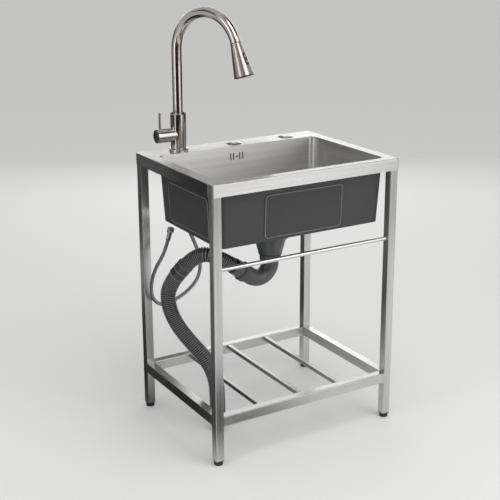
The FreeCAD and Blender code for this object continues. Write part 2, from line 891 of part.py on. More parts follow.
def drain_cup():
    gasket_inside = drain_hole_radius + size.gasket_inset
    gasket = ring("drain_gasket", gasket_inside, cup_flange_radius, gasket_under, floor_under)
    place(gasket, 0, bowl_y, 0)
    keep(gasket, "drain_gasket")
    shell = turned(
        "cup_shell",
        (
            (spigot_bore, spigot_end),
            (size.pipe_radius, spigot_end),
            (size.pipe_radius, cup_low),
            (size.cup_neck_radius, cup_low),
            (cup_radius, cup_shoulder),
            (cup_radius, cup_step),
            (cup_flange_radius, cup_step),
            (cup_flange_radius, gasket_under),
            (cup_inside, gasket_under),
            (cup_inside, cup_shoulder),
            (size.cup_neck_radius - size.cup_wall, cup_low + size.cup_wall),
            (spigot_bore, cup_low + size.cup_wall),
        ),
    )
    place(shell, 0, bowl_y, 0)
    spider = box(
        "cup_spider",
        size.cup_neck_radius * 2 - size.cup_wall,
        size.spider_width,
        size.spider_height,
        as_size(0),
        bowl_y,
        cup_low + size.cup_wall,
    )
    nipple = rod(
        "cup_nipple",
        size.overflow_pipe_radius,
        size.cup_nipple_length,
        cup_nipple_start,
        bowl_y,
        cup_nipple_z,
        nipple_turns,
    )
    bore = rod(
        "cup_nipple_bore",
        overflow_bore,
        size.cup_nipple_length * 2,
        cup_nipple_start - cosine(size.cup_nipple_rise) * size.cup_wall * 2,
        bowl_y,
        cup_nipple_z - sine(size.cup_nipple_rise) * size.cup_wall * 2,
        nipple_turns,
    )
    screw_hole = rod("cup_screw_hole", size.cup_screw_radius + size.screw_clearance, size.cup_taper_length)
    place(screw_hole, 0, bowl_y, cup_low)
    keep(cut("drain_cup", fuse("cup_whole", [shell, spider, nipple]), [bore, screw_hole]), "drain_cup")
    nut_high = cup_low - size.nut_clearance
    nut_inside = size.pipe_radius + size.nut_clearance
    nut = ring(
        "drain_nut",
        nut_inside,
        nut_inside + size.drain_nut_wall,
        nut_high - size.drain_nut_height,
        nut_high,
    )
    place(nut, 0, bowl_y, 0)
    keep(nut, "drain_nut")


# Bent tubes: each starts up its own Z axis, bends towards +X and may go on straight
def bent_tube(name, radius, wall, rise, bend, turn, branch=None):
    body = doc.addObject("PartDesign::Body", name)
    path = new_sketch(body, "XZ_Plane")
    end_x = bend - bend * cosine(turn)
    end_z = rise + bend * sine(turn)
    straight = path.addGeometry(Part.LineSegment(Vector(0, 0, 0), Vector(0, rise.number, 0)))
    circle = Part.Circle(Vector(bend.number, rise.number, 0), Vector(0, 0, 1), bend.number)
    arc = path.addGeometry(Part.ArcOfCircle(circle, math.radians(180.0 - turn.number), math.pi))
    path.addConstraint(Sketcher.Constraint("Coincident", straight, 1, -1, 1))
    path.addConstraint(Sketcher.Constraint("Vertical", straight))
    path.addConstraint(Sketcher.Constraint("Tangent", straight, 2, arc, 2))
    constrain(path, "DistanceY", (-1, 1, straight, 2), rise, "rise")
    constrain(path, "DistanceX", (-1, 1, arc, 1), end_x, "bend_end_x")
    constrain(path, "DistanceY", (-1, 1, arc, 1), end_z, "bend_end_z")
    if branch is not None:
        tail_x = end_x + branch * sine(turn)
        tail_z = end_z + branch * cosine(turn)
        bend_end = Vector(end_x.number, end_z.number, 0)
        tail = path.addGeometry(Part.LineSegment(bend_end, Vector(tail_x.number, tail_z.number, 0)))
        path.addConstraint(Sketcher.Constraint("Coincident", tail, 1, arc, 1))
        constrain(path, "DistanceX", (-1, 1, tail, 2), tail_x, "tail_end_x")
        constrain(path, "DistanceY", (-1, 1, tail, 2), tail_z, "tail_end_z")
    profile = new_sketch(body, "XY_Plane")
    for label, circle_radius in (("outer", radius), ("inner", radius - wall)):
        circle = profile.addGeometry(Part.Circle(Vector(0, 0, 0), Vector(0, 0, 1), circle_radius.number))
        profile.addConstraint(Sketcher.Constraint("Coincident", circle, 3, -1, 1))
        constrain(profile, "Radius", (circle,), circle_radius, label)
    pipe = body.newObject("PartDesign::AdditivePipe", name + "_pipe")
    pipe.Profile = profile
    pipe.Spine = (path, [])
    return body


# Trap: a bent pipe turned upside down, which leaves the cup downwards, bends round to the left and
# climbs to its coupling nut and the cuff of the hose
trap_climb = size.trap_turn - 90.0
trap_reach = size.trap_radius - size.trap_radius * cosine(size.trap_turn)
trap_drop = size.trap_entry + size.trap_radius * sine(size.trap_turn)
branch_end_x = -(trap_reach + size.trap_branch * sine(size.trap_turn))
branch_end_z = spigot_end - trap_drop - size.trap_branch * cosine(size.trap_turn)
branch_turns = ((Y_AXIS, trap_climb - 90.0),)
hose_groove_radius = size.hose_radius - size.hose_groove
hose_bore = hose_groove_radius - size.hose_wall


def trap():
    pipe = bent_tube(
        "trap_bend",
        size.pipe_radius,
        size.pipe_wall,
        size.trap_entry,
        size.trap_radius,
        size.trap_turn,
        size.trap_branch,
    )
    place(pipe, 0, bowl_y, spigot_end, ((Y_AXIS, 180.0),))
    keep(pipe, "trap_bend")
    nut_inside = size.pipe_radius + size.nut_clearance
    nut = ring("trap_nut", nut_inside, nut_inside + size.trap_nut_wall, -size.trap_nut_length, 0)
    place(nut, branch_end_x, bowl_y, branch_end_z, branch_turns)
    keep(nut, "trap_nut")
    cuff = ring("hose_cuff", hose_bore, size.hose_radius + size.cuff_wall, 0, size.cuff_length)
    place(cuff, branch_end_x, bowl_y, branch_end_z, branch_turns)
    keep(cuff, "hose_cuff")


# Hoses: straight runs joined by tangent arcs as large as the runs allow
ARC_SHARE = 0.45


def below_top(route):
    return [Vector(x, y, size.sink_height.number - drop) for x, y, drop in route]


def rounded_path(points, name):
    edges = []
    radii = []
    start = points[0]
    for before, corner, after in zip(points, points[1:], points[2:]):
        into = corner - before
        out = after - corner
        reach = ARC_SHARE * min(into.Length, out.Length)
        half_turn = into.getAngle(out) / 2
        radius = reach / math.tan(half_turn)
        into.normalize()
        out.normalize()
        first = corner - into * reach
        last = corner + out * reach
        inwards = out - into
        inwards.normalize()
        middle = corner + inwards * (radius / math.cos(half_turn) - radius)
        edges.append(Part.LineSegment(start, first).toShape())
        edges.append(Part.Arc(first, middle, last).toShape())
        radii.append(round(radius))
        start = last
    edges.append(Part.LineSegment(start, points[-1]).toShape())
    print(name, "arc radii", radii, "length", round(sum(edge.Length for edge in edges)))
    return edges


def station(edges, distance):
    """The point and direction at a distance along the path."""
    for edge in edges[:-1]:
        if distance <= edge.Length:
            break
        distance -= edge.Length
    else:
        edge = edges[-1]
    parameter = edge.getParameterByLength(min(distance, edge.Length))
    return edge.valueAt(parameter), edge.tangentAt(parameter)


def swept(edges, radius):
    point, direction = station(edges, 0.0)
    section = Part.Wire([Part.Circle(point, direction, radius).toShape()])
    return Part.Wire(edges).makePipeShell([section], True, False)


def solid_feature(name, shape):
    obj = doc.addObject("Part::Feature", name)
    obj.Shape = shape
    obj.Placement = Placement()
    return keep(obj, name)


# The hose's circles start towards this side, and its ribs rise, run and fall at these shares of a pitch
HOSE_SEAM = Vector(1, 1, 0)
RIB_RISE = 0.3
RIB_CREST = 0.6
RIB_FALL = 0.9


def loft_through(edges, stations):
    """A straight-sided loft through circles at (distance, radius) stations, seams along one side."""
    circles = []
    for distance, radius in stations:
        point, direction = station(edges, distance)
        circle = Part.Circle(point, direction, radius)
        circle.XAxis = HOSE_SEAM - direction * HOSE_SEAM.dot(direction)
        circles.append(Part.Wire([circle.toShape()]))
    return Part.makeLoft(circles, True, True)


def drain_hose():
    climb = math.radians(trap_climb.number)
    along = Vector(-math.cos(climb), 0, math.sin(climb))
    branch_end = Vector(branch_end_x.number, bowl_y.number, branch_end_z.number)
    start = branch_end + along * size.cuff_length.number
    height = size.sink_height.number
    route = [Vector(x, y, height * share) for x, y, share in DRAIN_HOSE_ROUTE]
    points = [start, start + along * DRAIN_HOSE_FIRST_RUN] + route
    edges = rounded_path(points, "drain_hose")
    length = sum(edge.Length for edge in edges)
    crest = size.hose_radius.number
    groove = hose_groove_radius.number
    plain = size.hose_plain_end.number
    pitch = (length - 2 * plain) / RIBS
    stations = [(0.0, groove)]
    for rib in range(RIBS):
        foot = plain + rib * pitch
        stations += [
            (foot, groove),
            (foot + RIB_RISE * pitch, crest),
            (foot + RIB_CREST * pitch, crest),
            (foot + RIB_FALL * pitch, groove),
        ]
    stations.append((length, groove))
    bore = hose_bore.number
    inner = swept(edges, bore)
    share = inner.Volume / (math.pi * bore**2 * length)
    hose = loft_through(edges, stations).cut(inner)
    print("drain_hose volume", round(hose.Volume), "bore over section times length", round(share, 4))
    solid_feature("drain_hose", hose)
    hose_joiner(edges[4])


def hose_joiner(run):
    """A sleeve round the middle of one straight run of the hose."""
    inside = size.hose_radius.number + size.sleeve_clearance.number
    sleeve_length = size.sleeve_length.number
    outer_tube = Part.makeCylinder(inside + size.sleeve_wall.number, sleeve_length)
    sleeve = solid_feature("hose_joiner", outer_tube.cut(Part.makeCylinder(inside, sleeve_length)))
    direction = run.tangentAt(run.FirstParameter)
    low = run.CenterOfMass - direction * (sleeve_length / 2)
    sleeve.Placement = Placement(low, Rotation(Vector(0, 0, 1), direction))


# Overflow: slits at the bowl's back lead to a box outside, screwed on, whose nipple points down
# along the leaning wall, with a hose to the cup
overflow_lean = size.bowl_taper * (size.overflow_drop / size.bowl_depth)
overflow_wall_y = bowl_y + opening_depth / 2 + size.bowl_wall - overflow_lean
overflow_outward = size.pad_glue + size.box_thickness / 2
overflow_nipple_y = overflow_wall_y + overflow_outward * cosine(wall_tilt)
overflow_nipple_z = deck_under - size.overflow_drop - overflow_outward * sine(wall_tilt)
overflow_reach = size.box_height / 2 + size.nipple_length


def overflow():
    block = plate("overflow_block", size.box_width, size.box_height, size.box_corner, size.box_thickness)
    on_wall(block, "back", size.overflow_drop, size.pad_glue, size.overflow_x)
    downwards = ((X_AXIS, 180.0 - wall_tilt),)
    nipple = rod(
        "overflow_nipple",
        size.overflow_pipe_radius,
        overflow_reach,
        size.overflow_x,
        overflow_nipple_y,
        overflow_nipple_z,
        downwards,
    )
    hole_radius = size.overflow_screw_radius + size.screw_clearance
    screw_hole = rod("overflow_box_hole", hole_radius, size.box_thickness + size.cut_over * 2)
    on_wall(screw_hole, "back", size.overflow_drop, -size.cut_over, size.overflow_x)
    keep(cut("overflow_box", fuse("overflow_whole", [block, nipple]), [screw_hole]), "overflow_box")
    shank_length = size.box_thickness + size.bowl_wall
    screw = turned(
        "overflow_screw",
        (
            (0, -size.overflow_head),
            (size.overflow_crown_radius, -size.overflow_head),
            (size.overflow_head_radius, 0),
            (size.overflow_screw_radius, 0),
            (size.overflow_screw_radius, shank_length),
            (0, shank_length),
        ),
    )
    on_wall(screw, "back", size.overflow_drop, -size.bowl_wall - size.pad_glue, size.overflow_x)
    keep(screw, "overflow_screw")


def overflow_hose():
    lean = wall_tilt.number
    downwards = Vector(0, -math.sin(math.radians(lean)), -math.cos(math.radians(lean)))
    box_nipple = Vector(size.overflow_x.number, overflow_nipple_y.number, overflow_nipple_z.number)
    start = box_nipple + downwards * overflow_reach.number
    rise = math.radians(size.cup_nipple_rise.number)
    outwards = Vector(math.cos(rise), 0, math.sin(rise))
    end = Vector(cup_nipple_end_x.number, bowl_y.number, cup_nipple_end_z.number)
    points = [start, start + downwards * OVERFLOW_HOSE_FIRST_RUN]
    way_back = start.y - end.y
    points += below_top([(x, end.y + way_back * share, drop) for x, share, drop in OVERFLOW_HOSE_ROUTE])
    points += [end + outwards * OVERFLOW_HOSE_LAST_RUN, end]
    edges = rounded_path(points, "overflow_hose")
    solid_feature("overflow_hose", swept(edges, size.overflow_pipe_radius.number))


# Tap: a base and body with a side handle, a swivelling spout and a spray head that pulls out
tap_x = size.tap_x
base_top = size.sink_height + size.base_height
body_top = base_top + size.body_height
handle_z = size.sink_height + size.handle_height
neck_reach = size.body_radius + size.handle_neck
spout_low = body_top - size.spout_seat
sideways = ((Y_AXIS, -90.0),)


def tap_body():
    base = turned(
        "tap_base",
        (
            (0, size.sink_height),
            (size.base_radius, size.sink_height),
            (size.base_radius, base_top - size.base_edge),
            (size.base_radius - size.base_edge, base_top),
            (0, base_top),
        ),
    )
    place(base, tap_x, tap_y, 0)
    keep(base, "tap_base")
    seat_radius = size.spout_radius + size.running_fit
    seat_low = spout_low - size.spout_seat_gap
    post = turned(
        "tap_post",
        (
            (0, base_top),
            (size.body_radius, base_top),
            (size.body_radius, body_top - size.body_edge),
            (size.body_radius - size.body_edge, body_top),
            (seat_radius, body_top),
            (seat_radius, seat_low),
            (0, seat_low),
        ),
    )
    place(post, tap_x, tap_y, 0)
    neck = rod("handle_neck", size.handle_radius, neck_reach, tap_x, tap_y, handle_z, sideways)
    bore = rod(
        "handle_bore",
        size.handle_spigot_radius + size.running_fit,
        size.handle_spigot_length + size.handle_gap,
        tap_x - neck_reach + size.handle_spigot_length + size.handle_gap,
        tap_y,
        handle_z,
        sideways,
    )
    keep(cut("tap_body", fuse("tap_body_whole", [post, neck]), [bore]), "tap_body")


def tap_handle():
    knob_start = neck_reach + size.handle_gap
    lever_x = tap_x - knob_start - size.lever_inset
    knob = turned(
        "handle_turned",
        (
            (0, knob_start - size.handle_spigot_length),
            (size.handle_spigot_radius, knob_start - size.handle_spigot_length),
            (size.handle_spigot_radius, knob_start),
            (size.handle_radius, knob_start),
            (size.handle_radius, knob_start + size.handle_knob),
            (0, knob_start + size.handle_knob),
        ),
    )
    place(knob, tap_x, tap_y, handle_z, sideways)
    lever_seat_z = handle_z + size.handle_radius - size.lever_seat
    lever_hole = rod(
        "lever_hole",
        size.lever_radius + size.running_fit,
        size.handle_radius,
        lever_x,
        tap_y,
        lever_seat_z,
    )
    keep(cut("handle_knob", knob, [lever_hole]), "handle_knob")
    lever_length = size.lever_rise - size.handle_radius + size.lever_seat
    lever = rod("handle_lever", size.lever_radius, lever_length, lever_x, tap_y, lever_seat_z)
    keep(lever, "handle_lever")
    cap_place = tap_x - knob_start - size.handle_knob
    cap = rod("handle_cap", size.handle_cap_radius, size.handle_cap, cap_place, tap_y, handle_z, sideways)
    keep(cap, "handle_cap")


def tap_shank():
    shank_low = size.sink_height - size.shank_length
    bore = size.shank_radius - size.shank_wall
    shank = ring("tap_shank", bore, size.shank_radius, shank_low, size.sink_height)
    place(shank, tap_x, tap_y, 0)
    keep(shank, "tap_shank")
    washer_low = deck_under - size.shank_washer
    nut_low = washer_low - size.shank_nut
    hole = size.shank_radius + size.nut_clearance
    nut = turned(
        "tap_nut",
        (
            (hole, nut_low),
            (size.shank_nut_radius, nut_low),
            (size.shank_nut_radius, washer_low),
            (size.shank_washer_radius, washer_low),
            (size.shank_washer_radius, deck_under),
            (hole, deck_under),
        ),
    )
    place(nut, tap_x, tap_y, 0)
    keep(nut, "tap_nut")
    ferrule_low = shank_low - size.ferrule_length
    plug_radius = bore - size.ferrule_clearance
    ferrule = turned(
        "supply_ferrule_top",
        (
            (0, ferrule_low),
            (size.ferrule_radius, ferrule_low),
            (size.ferrule_radius, shank_low),
            (plug_radius, shank_low),
            (plug_radius, shank_low + size.ferrule_plug),
            (0, shank_low + size.ferrule_plug),
        ),
    )
    place(ferrule, tap_x, tap_y, 0)
    keep(ferrule, "supply_ferrule_top")


# The spout's bend, in its own upright plane
spring_z = size.sink_height + size.spout_rise
spout_reach = size.spout_bend - size.spout_bend * cosine(size.spout_turn)
spout_end_z = spring_z + size.spout_bend * sine(size.spout_turn)
head_tilt = size.spout_turn - 180.0
head_x = tap_x + spout_reach * cosine(size.spout_heading)
head_y = tap_y + spout_reach * sine(size.spout_heading)
head_turns = ((Z_AXIS, size.spout_heading), (Y_AXIS, head_tilt))


def spout():
    tube = bent_tube(
        "spout", size.spout_radius, size.spout_wall, spring_z - spout_low, size.spout_bend, size.spout_turn
    )
    place(tube, tap_x, tap_y, spout_low, ((Z_AXIS, size.spout_heading),))
    keep(tube, "spout")
    guide_length = size.head_length - size.face_thickness - size.guide_end_gap
    bush_radius = size.spout_radius - size.spout_wall - size.guide_bush_clearance
    guide = turned(
        "spray_hose",
        (
            (0, -guide_length),
            (size.guide_radius, -guide_length),
            (size.guide_radius, 0),
            (bush_radius, 0),
            (bush_radius, size.guide_bush),
            (0, size.guide_bush),
        ),
    )
    place(guide, head_x, head_y, spout_end_z, head_turns)
    keep(guide, "spray_hose")


# The switch panel's place on the head's cone
head_top_radius = size.spout_radius + size.head_step
head_slope = (size.head_end_radius - head_top_radius) / size.head_length
head_cone = arctangent(head_slope)
panel_radius = head_top_radius + size.panel_place * head_slope
panel_tilt = head_tilt - head_cone
panel_turns = ((Z_AXIS, size.spout_heading), (Y_AXIS, panel_tilt))


def on_panel(obj, outward, upward, turns=()):
    """Places an object in the panel's own frame: X outwards from the cone, Z up along it."""
    reach = panel_radius * cosine(head_tilt) - size.panel_place * sine(head_tilt)
    rise = -(panel_radius * sine(head_tilt)) - size.panel_place * cosine(head_tilt)
    reach = reach + as_size(outward) * cosine(panel_tilt) + as_size(upward) * sine(panel_tilt)
    rise = rise - as_size(outward) * sine(panel_tilt) + as_size(upward) * cosine(panel_tilt)
    x = head_x + reach * cosine(size.spout_heading)
    y = head_y + reach * sine(size.spout_heading)
    return place(obj, x, y, spout_end_z + rise, panel_turns + turns)


def spray_head():
    end = -size.head_length
    face_seat = end + size.face_thickness + size.face_clearance
    face_radius = size.head_end_radius - size.face_inset
    face_hole = face_radius + size.face_clearance
    hollow_top = head_top_radius + size.head_roof * head_slope - size.head_wall
    hollow_end = size.head_end_radius - size.head_wall
    shell = turned(
        "head_shell",
        (
            (size.guide_radius + size.running_fit, 0),
            (head_top_radius, 0),
            (size.head_end_radius, end),
            (face_hole, end),
            (face_hole, face_seat),
            (hollow_end, face_seat),
            (hollow_top, -size.head_roof),
            (size.guide_radius + size.running_fit, -size.head_roof),
        ),
    )
    place(shell, head_x, head_y, spout_end_z, head_turns)
    recess = plate(
        "panel_recess", size.panel_length, size.panel_width, size.panel_corner, size.panel_recess * 2
    )
    face_outwards = ((Y_AXIS, 90.0),)
    on_panel(recess, -size.panel_recess, 0, face_outwards)
    keep(cut("spray_head", shell, [recess]), "spray_head")
    face_reach = sine(head_tilt) * end
    face = rod(
        "spray_face",
        face_radius,
        size.face_thickness,
        head_x + face_reach * cosine(size.spout_heading),
        head_y + face_reach * sine(size.spout_heading),
        spout_end_z + cosine(head_tilt) * end,
        head_turns,
    )
    keep(face, "spray_face")
    trim = size.panel_clearance * 2
    panel = plate(
        "panel_plate",
        size.panel_length - trim,
        size.panel_width - trim,
        size.panel_corner - size.panel_clearance,
        size.panel_thickness,
    )
    on_panel(panel, -size.panel_recess, 0, face_outwards)
    stem_holes = []
    plate_top = size.panel_thickness - size.panel_recess
    for name, sign in (("spray_button_upper", 1), ("spray_button_lower", -1)):
        along = size.button_pitch / 2 * sign
        hole_height = size.panel_thickness + size.cut_over * 2
        hole = rod(name + "_hole", size.button_stem_radius + size.running_fit, hole_height)
        on_panel(hole, -size.panel_recess - size.cut_over, along, face_outwards)
        stem_holes.append(hole)
        button = turned(
            name,
            (
                (0, -size.button_stem),
                (size.button_stem_radius, -size.button_stem),
                (size.button_stem_radius, 0),
                (size.button_radius, 0),
                (size.button_radius, size.button_height),
                (0, size.button_height),
            ),
        )
        on_panel(button, plate_top + size.button_gap, along, face_outwards)
        keep(button, name)
    keep(cut("spray_panel", panel, stem_holes), "spray_panel")


# Blanking caps on the spare tap holes, with a stud, a washer and a nut below
def hole_caps():
    caps = []
    nuts = []
    stud_low = deck_under - size.cap_stud_length
    washer_low = deck_under - size.cap_washer
    nut_low = washer_low - size.cap_nut
    hole = size.cap_stud_radius + size.nut_clearance
    cap_radius = tap_hole_radius + size.cap_overlap
    cap_top = size.sink_height + size.cap_height
    washer_radius = tap_hole_radius + size.cap_washer_overlap
    for index in (1, 2):
        x = tap_x + size.tap_hole_pitch * index
        cap = turned(
            f"hole_cap_{index}",
            (
                (0, stud_low),
                (size.cap_stud_radius, stud_low),
                (size.cap_stud_radius, size.sink_height),
                (cap_radius, size.sink_height),
                (cap_radius, size.sink_height + size.cap_edge),
                (cap_radius - size.cap_slope, cap_top),
                (0, cap_top),
            ),
        )
        caps.append(place(cap, x, tap_y, 0))
        nut = turned(
            f"cap_nut_{index}",
            (
                (hole, nut_low),
                (size.cap_nut_radius, nut_low),
                (size.cap_nut_radius, washer_low),
                (washer_radius, washer_low),
                (washer_radius, deck_under),
                (hole, deck_under),
            ),
        )
        nuts.append(place(nut, x, tap_y, 0))
    keep(group("hole_caps", caps), "hole_caps")
    keep(group("cap_nuts", nuts), "cap_nuts")


# Supply hose with a ferrule and a ringed nut on its free end
def supply_hose():
    shank_low = size.sink_height - size.shank_length
    start = Vector(tap_x.number, tap_y.number, (shank_low - size.ferrule_length).number)
    edges = rounded_path([start] + below_top(SUPPLY_HOSE_ROUTE), "supply_hose")
    hose = swept(edges, size.supply_radius.number)
    solid_feature("supply_hose", hose)
    end, direction = station(edges, sum(edge.Length for edge in edges))
    turn = Rotation(Vector(0, 0, 1), direction)
    ferrule_length = size.ferrule_length.number
    ferrule_tube = Part.makeCylinder(size.ferrule_radius.number, ferrule_length)
    ferrule = solid_feature("supply_ferrule_end", ferrule_tube)
    ferrule.Placement = Placement(end, turn)
    nut_length = size.supply_nut_length.number
    blank = Part.makeCylinder(size.supply_nut_radius.number, nut_length)
    thread = Part.makeCylinder(size.supply_thread_radius.number, nut_length)
    nut = solid_feature("supply_nut", blank.cut(thread))
    nut.Placement = Placement(end + direction * ferrule_length, turn)


sink_top()
bowl()
sound_pads()
legs()
shelf()
strainer()
basket()
drain_cup()
trap()
drain_hose()
overflow()
overflow_hose()
tap_body()
tap_handle()
tap_shank()
spout()
spray_head()
hole_caps()
supply_hose()
doc.recompute()

# Nothing is written unless every object is sound
faults = [obj.Name for obj in doc.Objects if "Invalid" in obj.State or "Error" in obj.State]
faults += [label for label, obj in parts.items() if obj.Shape.isNull() or not obj.Shape.isValid()]
if faults:
    raise RuntimeError("failed: " + ", ".join(faults))
os.makedirs("parts", exist_ok=True)
for label, obj in parts.items():
    obj.Shape.exportStep(f"parts/{label}.step")
print(len(parts), "sub-parts written")
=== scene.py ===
import json
import math

import bpy
from mathutils import Matrix, Quaternion, Vector


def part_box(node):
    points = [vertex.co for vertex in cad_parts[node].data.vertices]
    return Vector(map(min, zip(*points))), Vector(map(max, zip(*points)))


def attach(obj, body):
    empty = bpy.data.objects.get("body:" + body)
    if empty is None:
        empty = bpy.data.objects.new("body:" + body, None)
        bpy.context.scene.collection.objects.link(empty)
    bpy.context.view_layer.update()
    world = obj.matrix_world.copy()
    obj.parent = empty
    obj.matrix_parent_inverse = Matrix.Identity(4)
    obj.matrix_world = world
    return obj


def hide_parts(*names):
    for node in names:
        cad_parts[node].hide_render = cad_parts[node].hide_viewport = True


# Looks of the free-standing sink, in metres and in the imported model's own frame
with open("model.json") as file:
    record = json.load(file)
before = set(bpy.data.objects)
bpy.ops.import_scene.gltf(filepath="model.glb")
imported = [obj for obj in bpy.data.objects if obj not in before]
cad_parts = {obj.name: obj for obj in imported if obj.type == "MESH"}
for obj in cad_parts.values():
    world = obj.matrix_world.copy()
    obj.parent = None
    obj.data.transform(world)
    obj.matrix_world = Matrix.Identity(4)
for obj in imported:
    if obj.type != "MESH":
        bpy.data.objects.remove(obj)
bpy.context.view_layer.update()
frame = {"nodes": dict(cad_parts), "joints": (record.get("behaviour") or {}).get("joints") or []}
nodes = frame["nodes"]
scene = bpy.context.scene
scene.view_settings.view_transform = "Standard"
MM = 0.001
UP = Vector((0, 0, 1))

# Camera, at the photograph's viewing angle
CAMERA_PLACE = Vector((-1.5702, -2.5449, 1.4746))
CAMERA_AZIMUTH = math.radians(-30.809)
CAMERA_ELEVATION = math.radians(16.44)
CAMERA_ROLL = math.radians(-0.232)
CAMERA_LENS = 77.06
CAMERA_SENSOR = 36.0
CAMERA_SHIFT = -0.05
CAMERA_NEAR = 0.05
CAMERA_FAR = 200.0


def make_camera():
    data = bpy.data.cameras.new("camera")
    data.lens = CAMERA_LENS
    data.sensor_width = CAMERA_SENSOR
    data.shift_y = CAMERA_SHIFT
    data.clip_start = CAMERA_NEAR
    data.clip_end = CAMERA_FAR
    level = math.cos(CAMERA_ELEVATION)
    back = Vector((
        math.sin(CAMERA_AZIMUTH) * level,
        -math.cos(CAMERA_AZIMUTH) * level,
        math.sin(CAMERA_ELEVATION),
    ))
    right = UP.cross(back).normalized()
    right.rotate(Quaternion(back, CAMERA_ROLL))
    above = back.cross(right)
    camera = bpy.data.objects.new("camera", data)
    camera.matrix_world = Matrix.LocRotScale(
        CAMERA_PLACE, Matrix((right, above, back)).transposed().to_quaternion(), None
    )
    scene.collection.objects.link(camera)
    scene.camera = camera


make_camera()

# Procedural materials
FINE_DETAIL = 3.0
SOFT_DETAIL = 2.0
NOISE_LOW = 0.3
NOISE_HIGH = 0.7


def new_material(name):
    material = bpy.data.materials.new(name)
    material.use_nodes = True
    tree = material.node_tree
    return material, tree, tree.nodes["Principled BSDF"]


def stretched_noise(tree, scale, detail=FINE_DETAIL):
    """Noise over the piece's own coordinates, with so many cells to the metre along X, Y and Z."""
    place = tree.nodes.new("ShaderNodeTexCoord")
    stretch = tree.nodes.new("ShaderNodeMapping")
    stretch.inputs["Scale"].default_value = scale
    noise = tree.nodes.new("ShaderNodeTexNoise")
    noise.inputs["Scale"].default_value = 1.0
    noise.inputs["Detail"].default_value = detail
    tree.links.new(place.outputs["Object"], stretch.inputs["Vector"])
    tree.links.new(stretch.outputs["Vector"], noise.inputs["Vector"])
    return noise.outputs["Fac"]


def even_noise(tree, cells):
    return stretched_noise(tree, (cells, cells, cells), SOFT_DETAIL)


def shades(tree, value, dark, light):
    """A colour between two shades, as a value goes over its useful middle."""
    ramp = tree.nodes.new("ShaderNodeValToRGB")
    ramp.color_ramp.elements[0].position = NOISE_LOW
    ramp.color_ramp.elements[0].color = (*dark, 1.0)
    ramp.color_ramp.elements[1].position = NOISE_HIGH
    ramp.color_ramp.elements[1].color = (*light, 1.0)
    tree.links.new(value, ramp.inputs["Fac"])
    return ramp.outputs["Color"]


def tinted(colour, factor):
    return tuple(min(1.0, channel * factor) for channel in colour)


def vary_colour(tree, shader, noise, colour, darker, lighter):
    """Lets a noise take the shader between a darker and a lighter tint of a colour."""
    tint = shades(tree, noise, tinted(colour, darker), tinted(colour, lighter))
    tree.links.new(tint, shader.inputs["Base Color"])


def vary_roughness(tree, shader, noise, low, high):
    """Maps the useful middle of a noise to a range of roughness."""
    mapped = tree.nodes.new("ShaderNodeMapRange")
    mapped.inputs["From Min"].default_value = NOISE_LOW
    mapped.inputs["From Max"].default_value = NOISE_HIGH
    mapped.inputs["To Min"].default_value = low
    mapped.inputs["To Max"].default_value = high
    tree.links.new(noise, mapped.inputs["Value"])
    tree.links.new(mapped.outputs["Result"], shader.inputs["Roughness"])


def add_bump(tree, shader, height, distance, strength):
    bump = tree.nodes.new("ShaderNodeBump")
    bump.inputs["Distance"].default_value = distance
    bump.inputs["Strength"].default_value = strength
    tree.links.new(height, bump.inputs["Height"])
    tree.links.new(bump.outputs["Normal"], shader.inputs["Normal"])


# Brushed metal: few cells to the metre along the brush lines and many across them
BRUSH_LENGTH = 7.0
BRUSH_FINENESS = 1100.0
BRUSH_DEPTH = 0.02 * MM
BRUSH_BUMP = 0.25
STREAK_LENGTH = 2.5
STREAK_FINENESS = 90.0
METAL_SWING = 0.07
METAL_SMOOTHEST = 0.8
METAL_ROUGHEST = 1.25

# Brush lines along an axis spread a reflection across themselves
ACROSS_BRUSH = {"X": (0.0, 0.3, 1.0), "Y": (0.3, 0.0, 1.0), "Z": (1.0, 1.0, 0.0), "XY": (0.0, 0.0, 1.0)}


def line_noise(tree, along, length, fineness, detail=FINE_DETAIL):
    return stretched_noise(tree, tuple(length if axis in along else fineness for axis in "XYZ"), detail)


def spread_across(tree, shader, along, anisotropy):
    shader.inputs["Anisotropic"].default_value = anisotropy
    across = tree.nodes.new("ShaderNodeCombineXYZ")
    for axis, share in zip("XYZ", ACROSS_BRUSH[along]):
        across.inputs[axis].default_value = share
    tree.links.new(across.outputs["Vector"], shader.inputs["Tangent"])


def brushed_metal(name, colour, along, rough, swing=METAL_SWING, anisotropy=0.0):
    """Metal with fine brush lines and broader faint streaks along the named axes."""
    material, tree, shader = new_material(name)
    shader.inputs["Metallic"].default_value = 1.0
    brush = line_noise(tree, along, BRUSH_LENGTH, BRUSH_FINENESS)
    streak = line_noise(tree, along, STREAK_LENGTH, STREAK_FINENESS, SOFT_DETAIL)
    vary_colour(tree, shader, streak, colour, 1 - swing, 1 + swing)
    vary_roughness(tree, shader, brush, rough * METAL_SMOOTHEST, rough * METAL_ROUGHEST)
    add_bump(tree, shader, brush, BRUSH_DEPTH, BRUSH_BUMP)
    if anisotropy:
        spread_across(tree, shader, along, anisotropy)
    return material


STEEL = (0.62, 0.615, 0.605)
# The slats are the rails' steel made darker, as a painted dark reflection
SHADED_SLAT_STEEL = (0.40, 0.396, 0.39)
POLISHED_STEEL = (0.70, 0.695, 0.685)
TURNED_STEEL = (0.66, 0.655, 0.645)
PLATING = (0.74, 0.74, 0.74)
NICKEL = (0.54, 0.495, 0.47)
# The spray head is the tap's nickel made darker, as painted shade
SHADED_HEAD_NICKEL = (0.40, 0.362, 0.34)
DARK_NICKEL = (0.3, 0.255, 0.23)
# The braid's wire is made darker than bare steel, as painted shade
SHADED_WIRE = (0.34, 0.34, 0.345)
STEEL_ROUGHNESS = 0.3
STEEL_BRUSH = 0.75


def brushed_steel(name, along, colour=STEEL):
    return brushed_metal(name, colour, along, STEEL_ROUGHNESS, anisotropy=STEEL_BRUSH)


